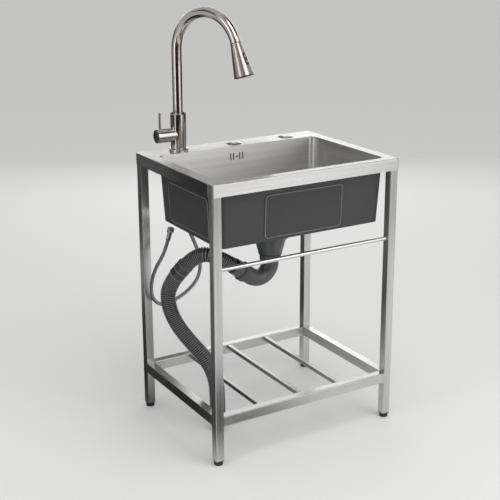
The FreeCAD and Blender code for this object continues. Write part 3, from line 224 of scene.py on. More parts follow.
steel_x = brushed_steel("steel_brushed_x", "X")
steel_y = brushed_steel("steel_brushed_y", "Y")
steel_z = brushed_steel("steel_brushed_z", "Z")
steel_slat_shaded = brushed_steel("steel_slat_shaded", "Y", SHADED_SLAT_STEEL)
steel_bar = brushed_metal("steel_polished", POLISHED_STEEL, "X", rough=0.17)
steel_turned = brushed_metal("steel_turned", TURNED_STEEL, "XY", rough=0.2)
plated = brushed_metal("plated", PLATING, "XY", rough=0.15, swing=0.03)
nickel = brushed_metal("nickel_brushed", NICKEL, "XY", rough=0.15, swing=0.05)
shaded_head_nickel = brushed_metal("nickel_head_shaded", SHADED_HEAD_NICKEL, "XY", rough=0.2, swing=0.06)
dark_nickel = brushed_metal("nickel_dark", DARK_NICKEL, "XY", rough=0.25, swing=0.1)
braid_wire = brushed_metal("braid_wire", SHADED_WIRE, "Z", rough=0.3, swing=0.12)

# Moulded plastic and rubber
MOULDED_MOTTLE = 35.0
MOULDED_SWING = 0.15
MOULDED_SMOOTHEST = 0.88
MOULDED_ROUGHEST = 1.12
MOULDED_CELLS = 900.0
MOULDED_BUMP = 0.4
DULL_GRAIN = 0.03 * MM
SATIN_GRAIN = 0.02 * MM
GLOSS_GRAIN = 0.01 * MM
BLACK_PLASTIC = (0.028, 0.028, 0.029)
BLACK_RUBBER = (0.022, 0.022, 0.022)
DRAIN_PLASTIC = (0.078, 0.082, 0.09)
DARK_TRIM = (0.018, 0.018, 0.02)
BUTTON_TRIM = (0.2, 0.2, 0.2)
INNER_HOSE = (0.22, 0.22, 0.23)
BLUE_RING = (0.05, 0.12, 0.38)
# Painted shade for the hollows and painted highlight for the crests of the hoses and sound pads
HOSE_GROOVE_SHADE = (0.006, 0.006, 0.006)
HOSE_CREST_HIGHLIGHT = (0.18, 0.18, 0.184)
PAD_HOLLOW_SHADE = (0.034, 0.034, 0.036)
PAD_CREST_HIGHLIGHT = (0.15, 0.15, 0.152)


def grained(name, rough, grain):
    """Plastic or rubber with a fine moulded grain and uneven gloss, still without its colour."""
    material, tree, shader = new_material(name)
    patch = even_noise(tree, MOULDED_MOTTLE)
    vary_roughness(tree, shader, patch, rough * MOULDED_SMOOTHEST, rough * MOULDED_ROUGHEST)
    add_bump(tree, shader, even_noise(tree, MOULDED_CELLS), grain, MOULDED_BUMP)
    return material, tree, shader, patch


def moulded(name, colour, rough, grain=DULL_GRAIN, swing=MOULDED_SWING):
    """Plastic or rubber of one colour in faint uneven shades."""
    material, tree, shader, patch = grained(name, rough, grain)
    vary_colour(tree, shader, patch, colour, 1 - swing, 1 + swing)
    return material


def painted_crest_light(name, low, high, rough):
    """Black moulding with painted shade in its hollows and a painted highlight on its crests."""
    material, tree, shader, patch = grained(name, rough, DULL_GRAIN)
    rise = tree.nodes.new("ShaderNodeAttribute")
    rise.attribute_name = "rise"
    tree.links.new(shades(tree, rise.outputs["Fac"], low, high), shader.inputs["Base Color"])
    return material


black_plastic = moulded("black_plastic", BLACK_PLASTIC, rough=0.5)
black_rubber = moulded("black_rubber", BLACK_RUBBER, rough=0.7)
drain_plastic = moulded("drain_plastic", DRAIN_PLASTIC, rough=0.33, grain=SATIN_GRAIN)
dark_trim = moulded("dark_trim", DARK_TRIM, rough=0.18, grain=GLOSS_GRAIN)
button_trim = moulded("button_trim", BUTTON_TRIM, rough=0.2, grain=GLOSS_GRAIN, swing=0.04)
inner_hose = moulded("inner_hose", INNER_HOSE, rough=0.55)
blue_ring = moulded("blue_ring", BLUE_RING, rough=0.35, grain=GLOSS_GRAIN)
hose_plastic = painted_crest_light("hose_plastic", HOSE_GROOVE_SHADE, HOSE_CREST_HIGHLIGHT, rough=0.28)
pad_rubber = painted_crest_light("pad_rubber", PAD_HOLLOW_SHADE, PAD_CREST_HIGHLIGHT, rough=0.42)

# The bowl is brushed steel inside and has a dull dark coat outside
BOWL_MIDDLE = (0.0, -0.026, 0.76)
BOWL_STEEL = (0.75, 0.74, 0.725)
BOWL_DARKER = 0.93
BOWL_LIGHTER = 1.06
BOWL_SMOOTHEST = 0.28
BOWL_ROUGHEST = 0.42
COAT = (0.041, 0.041, 0.043)
COAT_SWING = 0.15
COAT_ROUGHNESS = 0.5
COAT_CELLS = 700.0
COAT_GRAIN = 0.04 * MM
COAT_BUMP = 0.5


def coat_shader(tree):
    coat = tree.nodes.new("ShaderNodeBsdfPrincipled")
    coat.inputs["Roughness"].default_value = COAT_ROUGHNESS
    speckle = even_noise(tree, COAT_CELLS)
    vary_colour(tree, coat, speckle, COAT, 1 - COAT_SWING, 1 + COAT_SWING)
    add_bump(tree, coat, speckle, COAT_GRAIN, COAT_BUMP)
    return coat


def faces_away(tree, middle):
    """1 on surfaces that face away from a place, and 0 on those that face it."""
    surface = tree.nodes.new("ShaderNodeNewGeometry")
    outwards = tree.nodes.new("ShaderNodeVectorMath")
    outwards.operation = "SUBTRACT"
    outwards.inputs[1].default_value = middle
    facing = tree.nodes.new("ShaderNodeVectorMath")
    facing.operation = "DOT_PRODUCT"
    outside = tree.nodes.new("ShaderNodeMath")
    outside.operation = "GREATER_THAN"
    outside.inputs[1].default_value = 0.0
    tree.links.new(surface.outputs["Position"], outwards.inputs[0])
    tree.links.new(outwards.outputs["Vector"], facing.inputs[0])
    tree.links.new(surface.outputs["True Normal"], facing.inputs[1])
    tree.links.new(facing.outputs["Value"], outside.inputs[0])
    return outside.outputs["Value"]


def mix_surfaces(tree, share, first, second):
    """Shows the first surface where the share is 0 and the second where it is 1."""
    mix = tree.nodes.new("ShaderNodeMixShader")
    tree.links.new(share, mix.inputs["Fac"])
    tree.links.new(first.outputs["BSDF"], mix.inputs[1])
    tree.links.new(second.outputs["BSDF"], mix.inputs[2])
    tree.links.new(mix.outputs["Shader"], tree.nodes["Material Output"].inputs["Surface"])


def bowl_material():
    material, tree, shader = new_material("bowl_brushed_and_coated")
    shader.inputs["Metallic"].default_value = 1.0
    brush = line_noise(tree, "XY", BRUSH_LENGTH, BRUSH_FINENESS)
    streak = line_noise(tree, "XY", STREAK_LENGTH, STREAK_FINENESS, SOFT_DETAIL)
    vary_colour(tree, shader, streak, BOWL_STEEL, BOWL_DARKER, BOWL_LIGHTER)
    vary_roughness(tree, shader, brush, BOWL_SMOOTHEST, BOWL_ROUGHEST)
    spread_across(tree, shader, "X", STEEL_BRUSH)
    add_bump(tree, shader, brush, BRUSH_DEPTH, BRUSH_BUMP)
    mix_surfaces(tree, faces_away(tree, BOWL_MIDDLE), shader, coat_shader(tree))
    return material


bowl_steel = bowl_material()

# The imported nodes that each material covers
NODE_MATERIALS = {
    steel_x: ("sink_top", "shelf_rail_front", "shelf_rail_back", "hole_caps"),
    steel_y: ("shelf_rail_left", "shelf_rail_right"),
    steel_slat_shaded: ("shelf_slat_1", "shelf_slat_2", "shelf_slat_3"),
    steel_z: ("leg_front_left", "leg_front_right", "leg_back_left", "leg_back_right", "leg_sockets"),
    steel_bar: ("towel_bar",),
    steel_turned: ("strainer_body", "basket"),
    bowl_steel: ("bowl",),
    plated: ("leg_screws", "strainer_screw", "overflow_screw", "supply_ferrule_top", "supply_ferrule_end",
             "tap_shank"),
    nickel: ("tap_base", "tap_body", "handle_knob", "handle_lever", "spout"),
    shaded_head_nickel: ("spray_head",),
    black_plastic: ("leg_plugs", "tap_nut", "cap_nuts", "overflow_box"),
    black_rubber: ("foot_front_left", "foot_front_right", "foot_back_left", "foot_back_right",
                   "drain_gasket"),
    drain_plastic: ("drain_cup", "trap_bend", "hose_cuff"),
    dark_trim: ("spray_panel", "spray_face"),
    dark_nickel: ("handle_cap",),
    button_trim: ("spray_button_upper", "spray_button_lower"),
    inner_hose: ("spray_hose",),
}
for material, names in NODE_MATERIALS.items():
    for name in names:
        nodes[name].data.materials.clear()
        nodes[name].data.materials.append(material)

# Pieces made in mesh code
SHARP_ANGLE = math.radians(35.0)


def new_piece(name, points, faces, material, body="frame"):
    mesh = bpy.data.meshes.new(name)
    mesh.from_pydata([tuple(point) for point in points], [], faces)
    mesh.validate()
    mesh.shade_smooth()
    mesh.set_sharp_from_angle(angle=SHARP_ANGLE)
    mesh.materials.append(material)
    piece = bpy.data.objects.new(name, mesh)
    scene.collection.objects.link(piece)
    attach(piece, body)
    return piece


def add_rise(piece, rises):
    """Marks each point as low in a groove, 0, to high on a crest, 1, for painted shade and highlight."""
    piece.data.attributes.new("rise", "FLOAT", "POINT").data.foreach_set("value", rises)


def join_rings(first, second, count):
    """Faces between two rings of points that start at these indices."""
    return [
        (first + i, first + (i + 1) % count, second + (i + 1) % count, second + i)
        for i in range(count)
    ]


def looped_faces(rings, count):
    """Faces of a body whose last ring of points meets its first."""
    faces = []
    for i in range(rings):
        faces += join_rings(i * count, (i + 1) % rings * count, count)
    return faces


def stacked_faces(start, rings, count):
    """Faces of a body whose rings of points start at an index, with both ends closed."""
    last = start + (rings - 1) * count
    faces = [tuple(reversed(range(start, start + count)))]
    for first in range(start, last, count):
        faces += join_rings(first, first + count, count)
    faces.append(tuple(range(last, last + count)))
    return faces


# Lines of the hoses
SPLINE_STEPS = 32


def spline_points(name, route):
    """The line of a NURBS spline with the route as its control points."""
    curve = bpy.data.curves.new(name, "CURVE")
    curve.dimensions = "3D"
    curve.resolution_u = SPLINE_STEPS
    spline = curve.splines.new("NURBS")
    spline.points.add(len(route) - 1)
    for point, place in zip(spline.points, route):
        point.co = (*place, 1.0)
    spline.order_u = 3
    spline.use_endpoint_u = True
    line = bpy.data.objects.new(name, curve)
    scene.collection.objects.link(line)
    bpy.context.view_layer.update()
    mesh = bpy.data.meshes.new_from_object(line.evaluated_get(bpy.context.evaluated_depsgraph_get()))
    points = [vertex.co.copy() for vertex in mesh.vertices]
    bpy.data.objects.remove(line)
    bpy.data.curves.remove(curve)
    bpy.data.meshes.remove(mesh)
    return points


class Line:
    """A line of points with a frame that is carried along it without twisting."""

    def __init__(self, points):
        self.points = points
        self.ways = [0.0]
        for before, after in zip(points, points[1:]):
            self.ways.append(self.ways[-1] + (after - before).length)
        self.length = self.ways[-1]
        self.along = [
            (points[min(i + 1, len(points) - 1)] - points[max(i - 1, 0)]).normalized()
            for i in range(len(points))
        ]
        side = self.along[0].orthogonal().normalized()
        self.sides = [side]
        for before, after in zip(self.along, self.along[1:]):
            side = side.copy()
            side.rotate(before.rotation_difference(after))
            side = (side - after * side.dot(after)).normalized()
            self.sides.append(side)
        self.index = 0

    def nearest_way(self, place):
        """The distance along the line of its point nearest to a place."""
        return min(zip(self.ways, self.points), key=lambda pair: (pair[1] - place).length)[0]

    def even_ways(self, steps):
        """Distances along the line in even steps, from end to end."""
        return [self.length * step / steps for step in range(steps + 1)]

    def at(self, way):
        """Place, direction and side at a distance along the line."""
        if way < self.ways[self.index]:
            self.index = 0
        while self.index < len(self.ways) - 2 and self.ways[self.index + 1] < way:
            self.index += 1
        i = self.index
        share = (way - self.ways[i]) / (self.ways[i + 1] - self.ways[i])
        place = self.points[i].lerp(self.points[i + 1], share)
        along = self.along[i].lerp(self.along[i + 1], share).normalized()
        side = self.sides[i].lerp(self.sides[i + 1], share)
        side = (side - along * side.dot(along)).normalized()
        return place, along, side


# Hoses: a station is a distance along the line, a radius and the rise from groove to crest
BORE_STEPS = 60


def ring_points(line, way, radius, count):
    place, along, side = line.at(way)
    across = along.cross(side)
    turn = 2 * math.pi / count
    return [
        place + side * (radius * math.cos(turn * i)) + across * (radius * math.sin(turn * i))
        for i in range(count)
    ]


def hose_mesh(name, line, stations, bore, count, material):
    """A tube round a line, through its stations outside and with a smooth bore."""
    loops = stations + [(way, bore, 0.0) for way in reversed(line.even_ways(BORE_STEPS))]
    points = []
    rises = []
    for way, radius, rise in loops:
        points += ring_points(line, way, radius, count)
        rises += [rise] * count
    piece = new_piece(name, points, looped_faces(len(loops), count), material)
    add_rise(piece, rises)
    return piece


# One rib, as shares of the pitch and of the height from groove to crest
RIB_SHAPE = ((0.0, 0.0), (0.2, 0.12), (0.34, 0.8), (0.48, 1.0), (0.62, 0.8), (0.76, 0.12))


def ribbed_stations(length, ribs, crest, groove, plain_end, swell_from, swell):
    """Ribs along a hose, larger by the swell beyond a distance."""
    pitch = (length - 2 * plain_end) / ribs
    stations = [(0.0, groove, 0.0)]
    for rib in range(ribs):
        for share, rise in RIB_SHAPE:
            way = plain_end + (rib + share) * pitch
            more = swell if way > swell_from else 0.0
            stations.append((way, groove + more + (crest - groove) * rise, rise))
    stations += [(length - plain_end, groove, 0.0), (length, groove, 0.0)]
    return stations


# Drain hose: the route repeats the points of the solid, and the ribs are larger below the joiner
DRAIN_ROUTE = [
    Vector((-0.12332, -0.026, 0.49594)), Vector((-0.18400, -0.026, 0.54002)), Vector((-0.223, 0.022, 0.533)),
    Vector((-0.275, 0.092, 0.430)), Vector((-0.281, 0.084, 0.372)), Vector((-0.268, 0.058, 0.318)),
    Vector((-0.242, 0.020, 0.270)), Vector((-0.213, -0.014, 0.228)), Vector((-0.191, -0.031, 0.172)),
    Vector((-0.185, -0.033, 0.110)), Vector((-0.185, -0.033, 0.012)),
]
DRAIN_RIBS = 122
DRAIN_CREST = 22.0 * MM
DRAIN_GROOVE = 19.6 * MM
DRAIN_SWELL = 1.0 * MM
DRAIN_BORE = 18.5 * MM
DRAIN_PLAIN_END = 6 * MM
DRAIN_SIDES = 40
SLEEVE_LENGTH = 48 * MM
drain_line = Line(spline_points("drain_route", DRAIN_ROUTE))
drain_axis = (DRAIN_ROUTE[1] - DRAIN_ROUTE[0]).normalized()
sleeve_axis = (DRAIN_ROUTE[3] - DRAIN_ROUTE[2]).normalized()
sleeve_middle = (DRAIN_ROUTE[2] + DRAIN_ROUTE[3]) / 2
sleeve_way = drain_line.nearest_way(sleeve_middle)
drain_stations = ribbed_stations(
    drain_line.length, DRAIN_RIBS, DRAIN_CREST, DRAIN_GROOVE, DRAIN_PLAIN_END,
    sleeve_way + SLEEVE_LENGTH / 2, DRAIN_SWELL,
)
drain_hose = hose_mesh(
    "drain_hose_ribbed", drain_line, drain_stations, DRAIN_BORE, DRAIN_SIDES, hose_plastic,
)
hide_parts("drain_hose")

# Turned pieces: a closed outline of (radius, height) about an axis, with flutes on the outer side
TURNED_SIDES = 64
FLUTE_SHARPNESS = 3


def turned_piece(
    name, outline, foot, axis, material, body="frame", count=TURNED_SIDES, flutes=0, depth=0.0
):
    axis = axis.normalized()
    side = axis.orthogonal().normalized()
    across = axis.cross(side)
    inner = min(radius for radius, height in outline)
    points = []
    for radius, height in outline:
        for i in range(count):
            angle = 2 * math.pi * i / count
            cut = 0.0
            if flutes and radius > inner + depth:
                cut = depth * (0.5 + 0.5 * math.cos(flutes * angle)) ** FLUTE_SHARPNESS
            outwards = side * math.cos(angle) + across * math.sin(angle)
            points.append(foot + axis * height + outwards * (radius - cut))
    return new_piece(name, points, looped_faces(len(outline), count), material, body)


# Joiner sleeve on the drain hose, with three ridges painted pale as highlights
SLEEVE_INSIDE = 22.8 * MM
SLEEVE_BODY = 23.8 * MM
SLEEVE_RIDGE = 24.4 * MM
SLEEVE_RIDGES = (0.04, 0.5, 0.96)
RIDGE_HALF = 1.5 * MM
BODY_RISE = 0.38
sleeve_outline = [(SLEEVE_INSIDE, 0.0, 0.0)]
for share in SLEEVE_RIDGES:
    middle = SLEEVE_LENGTH * share
    sleeve_outline += [
        (SLEEVE_BODY, middle - RIDGE_HALF, BODY_RISE),
        (SLEEVE_RIDGE, middle - RIDGE_HALF / 2, 1.0),
        (SLEEVE_RIDGE, middle + RIDGE_HALF / 2, 1.0),
        (SLEEVE_BODY, middle + RIDGE_HALF, BODY_RISE),
    ]
sleeve_outline.append((SLEEVE_INSIDE, SLEEVE_LENGTH, 0.0))
joiner = turned_piece(
    "hose_joiner_sleeve", [(radius, way) for radius, way, rise in sleeve_outline],
    sleeve_middle - sleeve_axis * (SLEEVE_LENGTH / 2), sleeve_axis, hose_plastic,
)
add_rise(joiner, [rise for radius, way, rise in sleeve_outline for i in range(TURNED_SIDES)])
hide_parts("hose_joiner")

# Overflow hose, a small ribbed hose behind and below the bowl
OVERFLOW_ROUTE = [
    Vector((-0.008, 0.16394, 0.73316)), Vector((-0.008, 0.16186, 0.69021)), Vector((0.010, 0.1706, 0.640)),
    Vector((0.050, 0.1677, 0.604)), Vector((0.098, 0.1469, 0.592)), Vector((0.138, 0.1089, 0.590)),
    Vector((0.152, 0.0557, 0.590)), Vector((0.138, 0.0063, 0.589)), Vector((0.10282, -0.026, 0.5858)),
    Vector((0.05952, -0.026, 0.5608)),
]
OVERFLOW_RIBS = 110
OVERFLOW_CREST = 9.0 * MM
OVERFLOW_GROOVE = 7.7 * MM
OVERFLOW_BORE = 7.0 * MM
OVERFLOW_PLAIN_END = 12 * MM
OVERFLOW_SIDES = 24
overflow_line = Line(spline_points("overflow_route", OVERFLOW_ROUTE))
overflow_stations = ribbed_stations(
    overflow_line.length, OVERFLOW_RIBS, OVERFLOW_CREST, OVERFLOW_GROOVE, OVERFLOW_PLAIN_END,
    overflow_line.length, 0.0,
)
overflow_hose = hose_mesh(
    "overflow_hose_ribbed", overflow_line, overflow_stations, OVERFLOW_BORE, OVERFLOW_SIDES, hose_plastic,
)
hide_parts("overflow_hose")

# Supply hose: a dark core in a braid of flat wire strands that pass over and under each other
SUPPLY_ROUTE = [
    Vector((-0.180, 0.191, 0.676)), Vector((-0.178, 0.191, 0.628)), Vector((-0.162, 0.191, 0.572)),
    Vector((-0.134, 0.190, 0.512)), Vector((-0.115, 0.188, 0.452)), Vector((-0.123, 0.186, 0.401)),
    Vector((-0.158, 0.184, 0.366)), Vector((-0.204, 0.184, 0.343)), Vector((-0.252, 0.186, 0.331)),
    Vector((-0.284, 0.188, 0.360)), Vector((-0.286, 0.182, 0.414)), Vector((-0.278, 0.164, 0.464)),
    Vector((-0.257, 0.147, 0.509)), Vector((-0.236, 0.1646, 0.541)),
]
CORE_RADIUS = 4.9 * MM
CORE_BORE = 3.4 * MM
CORE_STEPS = 150
CORE_SIDES = 20
BRAID_STRANDS = 8
BRAID_PITCH = 28 * MM
BRAID_MIDDLE = 5.15 * MM
BRAID_SWING = 0.22 * MM
BRAID_STEP = 0.6 * MM
BRAID_LAY = math.atan2(2 * math.pi * BRAID_MIDDLE, BRAID_PITCH)
STRAND_HALF_WIDTH = 1.2 * MM
STRAND_CROWN = 0.13 * MM
STRAND_DROP = 0.25 * MM
supply_line = Line(spline_points("supply_route", SUPPLY_ROUTE))


def strand_points(line, number, hand):
    """One strand of the braid, a low ridge whose height rises and falls at each crossing."""
    points = []
    for way in line.even_ways(int(line.length / BRAID_STEP)):
        place, along, side = line.at(way)
        across = along.cross(side)
        crossing = 2 * BRAID_STRANDS * way / BRAID_PITCH
        middle = BRAID_MIDDLE + hand * BRAID_SWING * math.cos(math.pi * crossing)
        angle = 2 * math.pi * (hand * way / BRAID_PITCH + number / BRAID_STRANDS)
        outwards = side * math.cos(angle) + across * math.sin(angle)
        sideways = across * math.cos(angle) - side * math.sin(angle)
        breadth = sideways * math.cos(BRAID_LAY) - along * (hand * math.sin(BRAID_LAY))
        foot = place + outwards * (middle - STRAND_DROP)
        points.append(foot - breadth * STRAND_HALF_WIDTH)
        points.append(place + outwards * (middle + STRAND_CROWN))
        points.append(foot + breadth * STRAND_HALF_WIDTH)
    return points


def braid(name, line, material):
    points = []
    faces = []
    for hand in (1, -1):
        for number in range(BRAID_STRANDS):
            strand = strand_points(line, number, hand)
            faces += stacked_faces(len(points), len(strand) // 3, 3)
            points += strand
    return new_piece(name, points, faces, material)


core_stations = [(way, CORE_RADIUS, 0.0) for way in supply_line.even_ways(CORE_STEPS)]
supply_core = hose_mesh(
    "supply_hose_core", supply_line, core_stations, CORE_BORE, CORE_SIDES, black_rubber,
)
supply_braid = braid("supply_hose_braid", supply_line, braid_wire)
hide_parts("supply_hose")

# Nut on the supply hose's free end, with grip flutes and a blue ring: outlines in millimetres
SUPPLY_NUT_OUTLINE = (
    (7.5, 0.0), (8.6, 0.0), (10.0, 1.2), (10.0, 7.0), (9.2, 7.6),
    (9.2, 11.0), (10.0, 11.6), (10.0, 15.0), (9.2, 16.0), (7.5, 16.0),
)
NUT_RING_OUTLINE = ((8.4, 7.7), (9.8, 7.7), (9.95, 8.3), (9.95, 10.3), (9.8, 10.9), (8.4, 10.9))
SUPPLY_NUT_REACH = 24 * MM
SUPPLY_NUT_FLUTES = 16
SUPPLY_NUT_FLUTE = 0.7 * MM
SUPPLY_NUT_SIDES = 96
supply_axis = (SUPPLY_ROUTE[-1] - SUPPLY_ROUTE[-2]).normalized()
supply_nut_foot = SUPPLY_ROUTE[-1] + supply_axis * SUPPLY_NUT_REACH
supply_nut = turned_piece(
    "supply_nut_fluted", [(radius * MM, height * MM) for radius, height in SUPPLY_NUT_OUTLINE],
    supply_nut_foot, supply_axis, plated,
    count=SUPPLY_NUT_SIDES, flutes=SUPPLY_NUT_FLUTES, depth=SUPPLY_NUT_FLUTE,
)
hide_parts("supply_nut")
nut_ring = turned_piece(
    "supply_nut_ring", [(radius * MM, height * MM) for radius, height in NUT_RING_OUTLINE],
    supply_nut_foot, supply_axis, blue_ring,
)

# Coupling nuts of the drain, with grip flutes
COUPLING_BORE = 25.2 * MM
COUPLING_LENGTH = 18 * MM
COUPLING_EDGE = 1.2 * MM
COUPLING_FLUTE = 1.4 * MM
SIDES_PER_FLUTE = 8
DRAIN_NUT_RADIUS = 31.5 * MM
DRAIN_NUT_FLUTES = 24
TRAP_NUT_RADIUS = 29.0 * MM
TRAP_NUT_FLUTES = 20


def coupling_nut(node, axis, radius, flutes):
    low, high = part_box(node)
    foot = (low + high) / 2 - axis * (COUPLING_LENGTH / 2)
    outline = [
        (COUPLING_BORE, 0.0),
        (radius - COUPLING_EDGE, 0.0),
        (radius, COUPLING_EDGE),
        (radius, COUPLING_LENGTH - COUPLING_EDGE),
        (radius - COUPLING_EDGE, COUPLING_LENGTH),
        (COUPLING_BORE, COUPLING_LENGTH),
    ]
    nut = turned_piece(
        node + "_fluted", outline, foot, axis, drain_plastic,
        count=SIDES_PER_FLUTE * flutes, flutes=flutes, depth=COUPLING_FLUTE,
    )
    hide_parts(node)


coupling_nut("drain_nut", UP, DRAIN_NUT_RADIUS, DRAIN_NUT_FLUTES)
coupling_nut("trap_nut", drain_axis, TRAP_NUT_RADIUS, TRAP_NUT_FLUTES)

# Sound pads: a plate with a raised rounded rim round a field of small studs
PAD_LONG = (252 * MM, 124 * MM)
PAD_SHORT = (232 * MM, 116 * MM)
PAD_THICKNESS = 3.0 * MM
PAD_CORNER = 12 * MM
PAD_CORNER_STEPS = 8
PAD_RIM = 4.0 * MM
PAD_FIELD = 2.2 * MM
WALL_LEAN = 9.0 * MM
WALL_HEIGHT = 186.0 * MM
PAD_LEAN = math.atan(WALL_LEAN / WALL_HEIGHT)
STUD_PITCH = 5.2 * MM
STUD_FOOT = 1.9 * MM
STUD_TOP = 1.1 * MM
STUD_SINK = 0.2 * MM
STUD_RISE = 0.7 * MM
STUD_HIGHLIGHT = 0.48
STUD_CORNERS = ((1, 0), (0, 1), (-1, 0), (0, -1))

# Sections of the rim, as inset, height and painted highlight, and of a stud, as reach, height and painted
# highlight
RIM_SECTION = (
    (0.0, 0.0, 0.0),
    (0.0, 1.4 * MM, 0.3),
    (0.4 * MM, 2.3 * MM, 1.0),
    (1.1 * MM, 2.9 * MM, 1.0),
    (2.0 * MM, PAD_THICKNESS, 1.0),
    (3.2 * MM, PAD_THICKNESS, 0.6),
    (PAD_RIM, PAD_FIELD, 0.0),
)
STUD_SECTION = ((STUD_FOOT, PAD_FIELD - STUD_SINK, 0.0), (STUD_TOP, PAD_FIELD + STUD_RISE, STUD_HIGHLIGHT))


def rounded_loop(width, height, corner, lift):
    points = []
    for index, (x, y) in enumerate(((1, 1), (-1, 1), (-1, -1), (1, -1))):
        for step in range(PAD_CORNER_STEPS + 1):
            angle = math.pi / 2 * (index + step / PAD_CORNER_STEPS)
            points.append(Vector((
                x * (width / 2 - corner) + corner * math.cos(angle),
                y * (height / 2 - corner) + corner * math.sin(angle),
                lift,
            )))
    return points


def stud_places(width, height):
    """Middles of the studs, in rows half a pitch apart, every second row shifted, inside the rim."""
    half_x = width / 2 - PAD_RIM - STUD_FOOT
    half_y = height / 2 - PAD_RIM - STUD_FOOT
    corner = PAD_CORNER - PAD_RIM
    rows = int(half_y / (STUD_PITCH / 2))
    columns = int(half_x / STUD_PITCH)
    for row in range(-rows, rows + 1):
        shift = STUD_PITCH / 2 if row % 2 else 0.0
        for column in range(-columns, columns + 1):
            x = column * STUD_PITCH + shift
            y = row * STUD_PITCH / 2
            over_x = abs(x) - (half_x - corner)
            over_y = abs(y) - (half_y - corner)
            cut_off = over_x > 0 and over_y > 0 and math.hypot(over_x, over_y) > corner
            if abs(x) <= half_x and not cut_off:
                yield x, y


def sound_pad(node, size, heading):
    """A pad in its own frame, Z outwards and Y up, stood on the bowl's leaning wall."""
    width, height = size
    points = []
    rises = []
    for inset, lift, rise in RIM_SECTION:
        loop = rounded_loop(width - 2 * inset, height - 2 * inset, PAD_CORNER - inset, lift)
        points += loop
        rises += [rise] * len(loop)
    faces = stacked_faces(0, len(RIM_SECTION), len(loop))
    for x, y in stud_places(width, height):
        faces += stacked_faces(len(points), len(STUD_SECTION), len(STUD_CORNERS))
        for reach, lift, rise in STUD_SECTION:
            points += [Vector((x + right * reach, y + up * reach, lift)) for right, up in STUD_CORNERS]
            rises += [rise] * len(STUD_CORNERS)
    low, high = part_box(node)
    turn = Matrix.Rotation(math.radians(heading), 4, "Z") @ Matrix.Rotation(math.pi / 2 + PAD_LEAN, 4, "X")
    outwards = turn.to_3x3() @ UP
    place = Matrix.Translation((low + high) / 2 - outwards * (PAD_THICKNESS / 2))
    placed = [place @ turn @ point for point in points]
    pad = new_piece(node + "_studded", placed, faces, pad_rubber)
    add_rise(pad, rises)
    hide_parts(node)


sound_pad("sound_pad_front", PAD_LONG, heading=0.0)
sound_pad("sound_pad_right", PAD_SHORT, heading=90.0)
sound_pad("sound_pad_back", PAD_LONG, heading=180.0)
sound_pad("sound_pad_left", PAD_SHORT, heading=270.0)

# Spray nozzles: rings of small hollow-tipped rubber nubs on the spray face
HEAD_AXIS = Vector(next(joint["axis"] for joint in frame["joints"] if joint["name"] == "head_pull_out"))
FACE_HALF = 2.0 * MM
NOZZLE_RINGS = ((0.0, 1), (6.0 * MM, 6), (11.5 * MM, 12), (17.0 * MM, 18), (21.5 * MM, 24))
NOZZLE_SIDES = 8
NOZZLE_FOOT = 1.3 * MM
NOZZLE_TIP = 0.8 * MM
NOZZLE_SINK = 0.3 * MM
NOZZLE_RISE = 0.9 * MM
NOZZLE_SHAPE = ((NOZZLE_FOOT, -NOZZLE_SINK), (NOZZLE_TIP, NOZZLE_RISE), (NOZZLE_TIP / 2, NOZZLE_RISE / 2))


def spray_nozzles():
    low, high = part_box("spray_face")
    side = HEAD_AXIS.orthogonal().normalized()
    across = HEAD_AXIS.cross(side)
    face_middle = (low + high) / 2 + HEAD_AXIS * FACE_HALF
    points = []
    faces = []
    for reach, number in NOZZLE_RINGS:
        for index in range(number):
            angle = 2 * math.pi * index / number
            middle = face_middle + side * (reach * math.cos(angle)) + across * (reach * math.sin(angle))
            faces += stacked_faces(len(points), len(NOZZLE_SHAPE), NOZZLE_SIDES)
            for radius, lift in NOZZLE_SHAPE:
                for i in range(NOZZLE_SIDES):
                    turn = 2 * math.pi * i / NOZZLE_SIDES
                    outwards = side * math.cos(turn) + across * math.sin(turn)
                    points.append(middle + HEAD_AXIS * lift + outwards * radius)
    new_piece("spray_nozzles", points, faces, black_rubber, "tap_head")


spray_nozzles()

# Dark rings: on the spray head's seam and rim; and as painted shade round the drain cup's foot and round the
# blanking caps
HEAD_TOP_RADIUS = 14.5 * MM
HEAD_END_RADIUS = 28.0 * MM
HEAD_LENGTH = 95.0 * MM
HEAD_SLOPE = (HEAD_END_RADIUS - HEAD_TOP_RADIUS) / HEAD_LENGTH
SEAM_RING = 1.7 * MM
RIM_RING = 2.0 * MM
CUP_FOOT_RADIUS = 34.0 * MM
CUP_WIDENING = 14.0 * MM
CUP_HEIGHT = 54.0 * MM
CUP_SLOPE = CUP_WIDENING / CUP_HEIGHT
CUP_RING = 3.2 * MM
RING_START = 0.1 * MM
RING_STAND = 0.3 * MM
RING_DEPTH = 1.5 * MM
CAP_SHADE_WIDTH = 1.3 * MM
CAP_SHADE_HEIGHT = 0.9 * MM
CAP_SHADE_GAP = 0.05 * MM


def cone_ring(name, foot, axis, radius, slope, first, last, material, body="frame"):
    """A ring that stands just proud of a cone, between two distances from the cone's narrow end."""
    first_radius = radius + slope * first + RING_STAND
    last_radius = radius + slope * last + RING_STAND
    outline = [
        (first_radius - RING_DEPTH, first),
        (first_radius, first),
        (last_radius, last),
        (last_radius - RING_DEPTH, last),
    ]
    turned_piece(name, outline, foot, axis, material, body)


def head_rings():
    head = nodes["spray_head"]
    ways = [(head.matrix_world @ vertex.co).dot(HEAD_AXIS) for vertex in head.data.vertices]
    low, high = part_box("spray_face")
    middle = (low + high) / 2
    foot = middle + HEAD_AXIS * (min(ways) - middle.dot(HEAD_AXIS))
    for name, first, last in (
        ("head_seam_ring", RING_START, SEAM_RING),
        ("head_rim_ring", HEAD_LENGTH - RIM_RING, HEAD_LENGTH + RING_START),
    ):
        cone_ring(
            name, foot, HEAD_AXIS, HEAD_TOP_RADIUS, HEAD_SLOPE, first, last,
            dark_trim, "tap_head",
        )


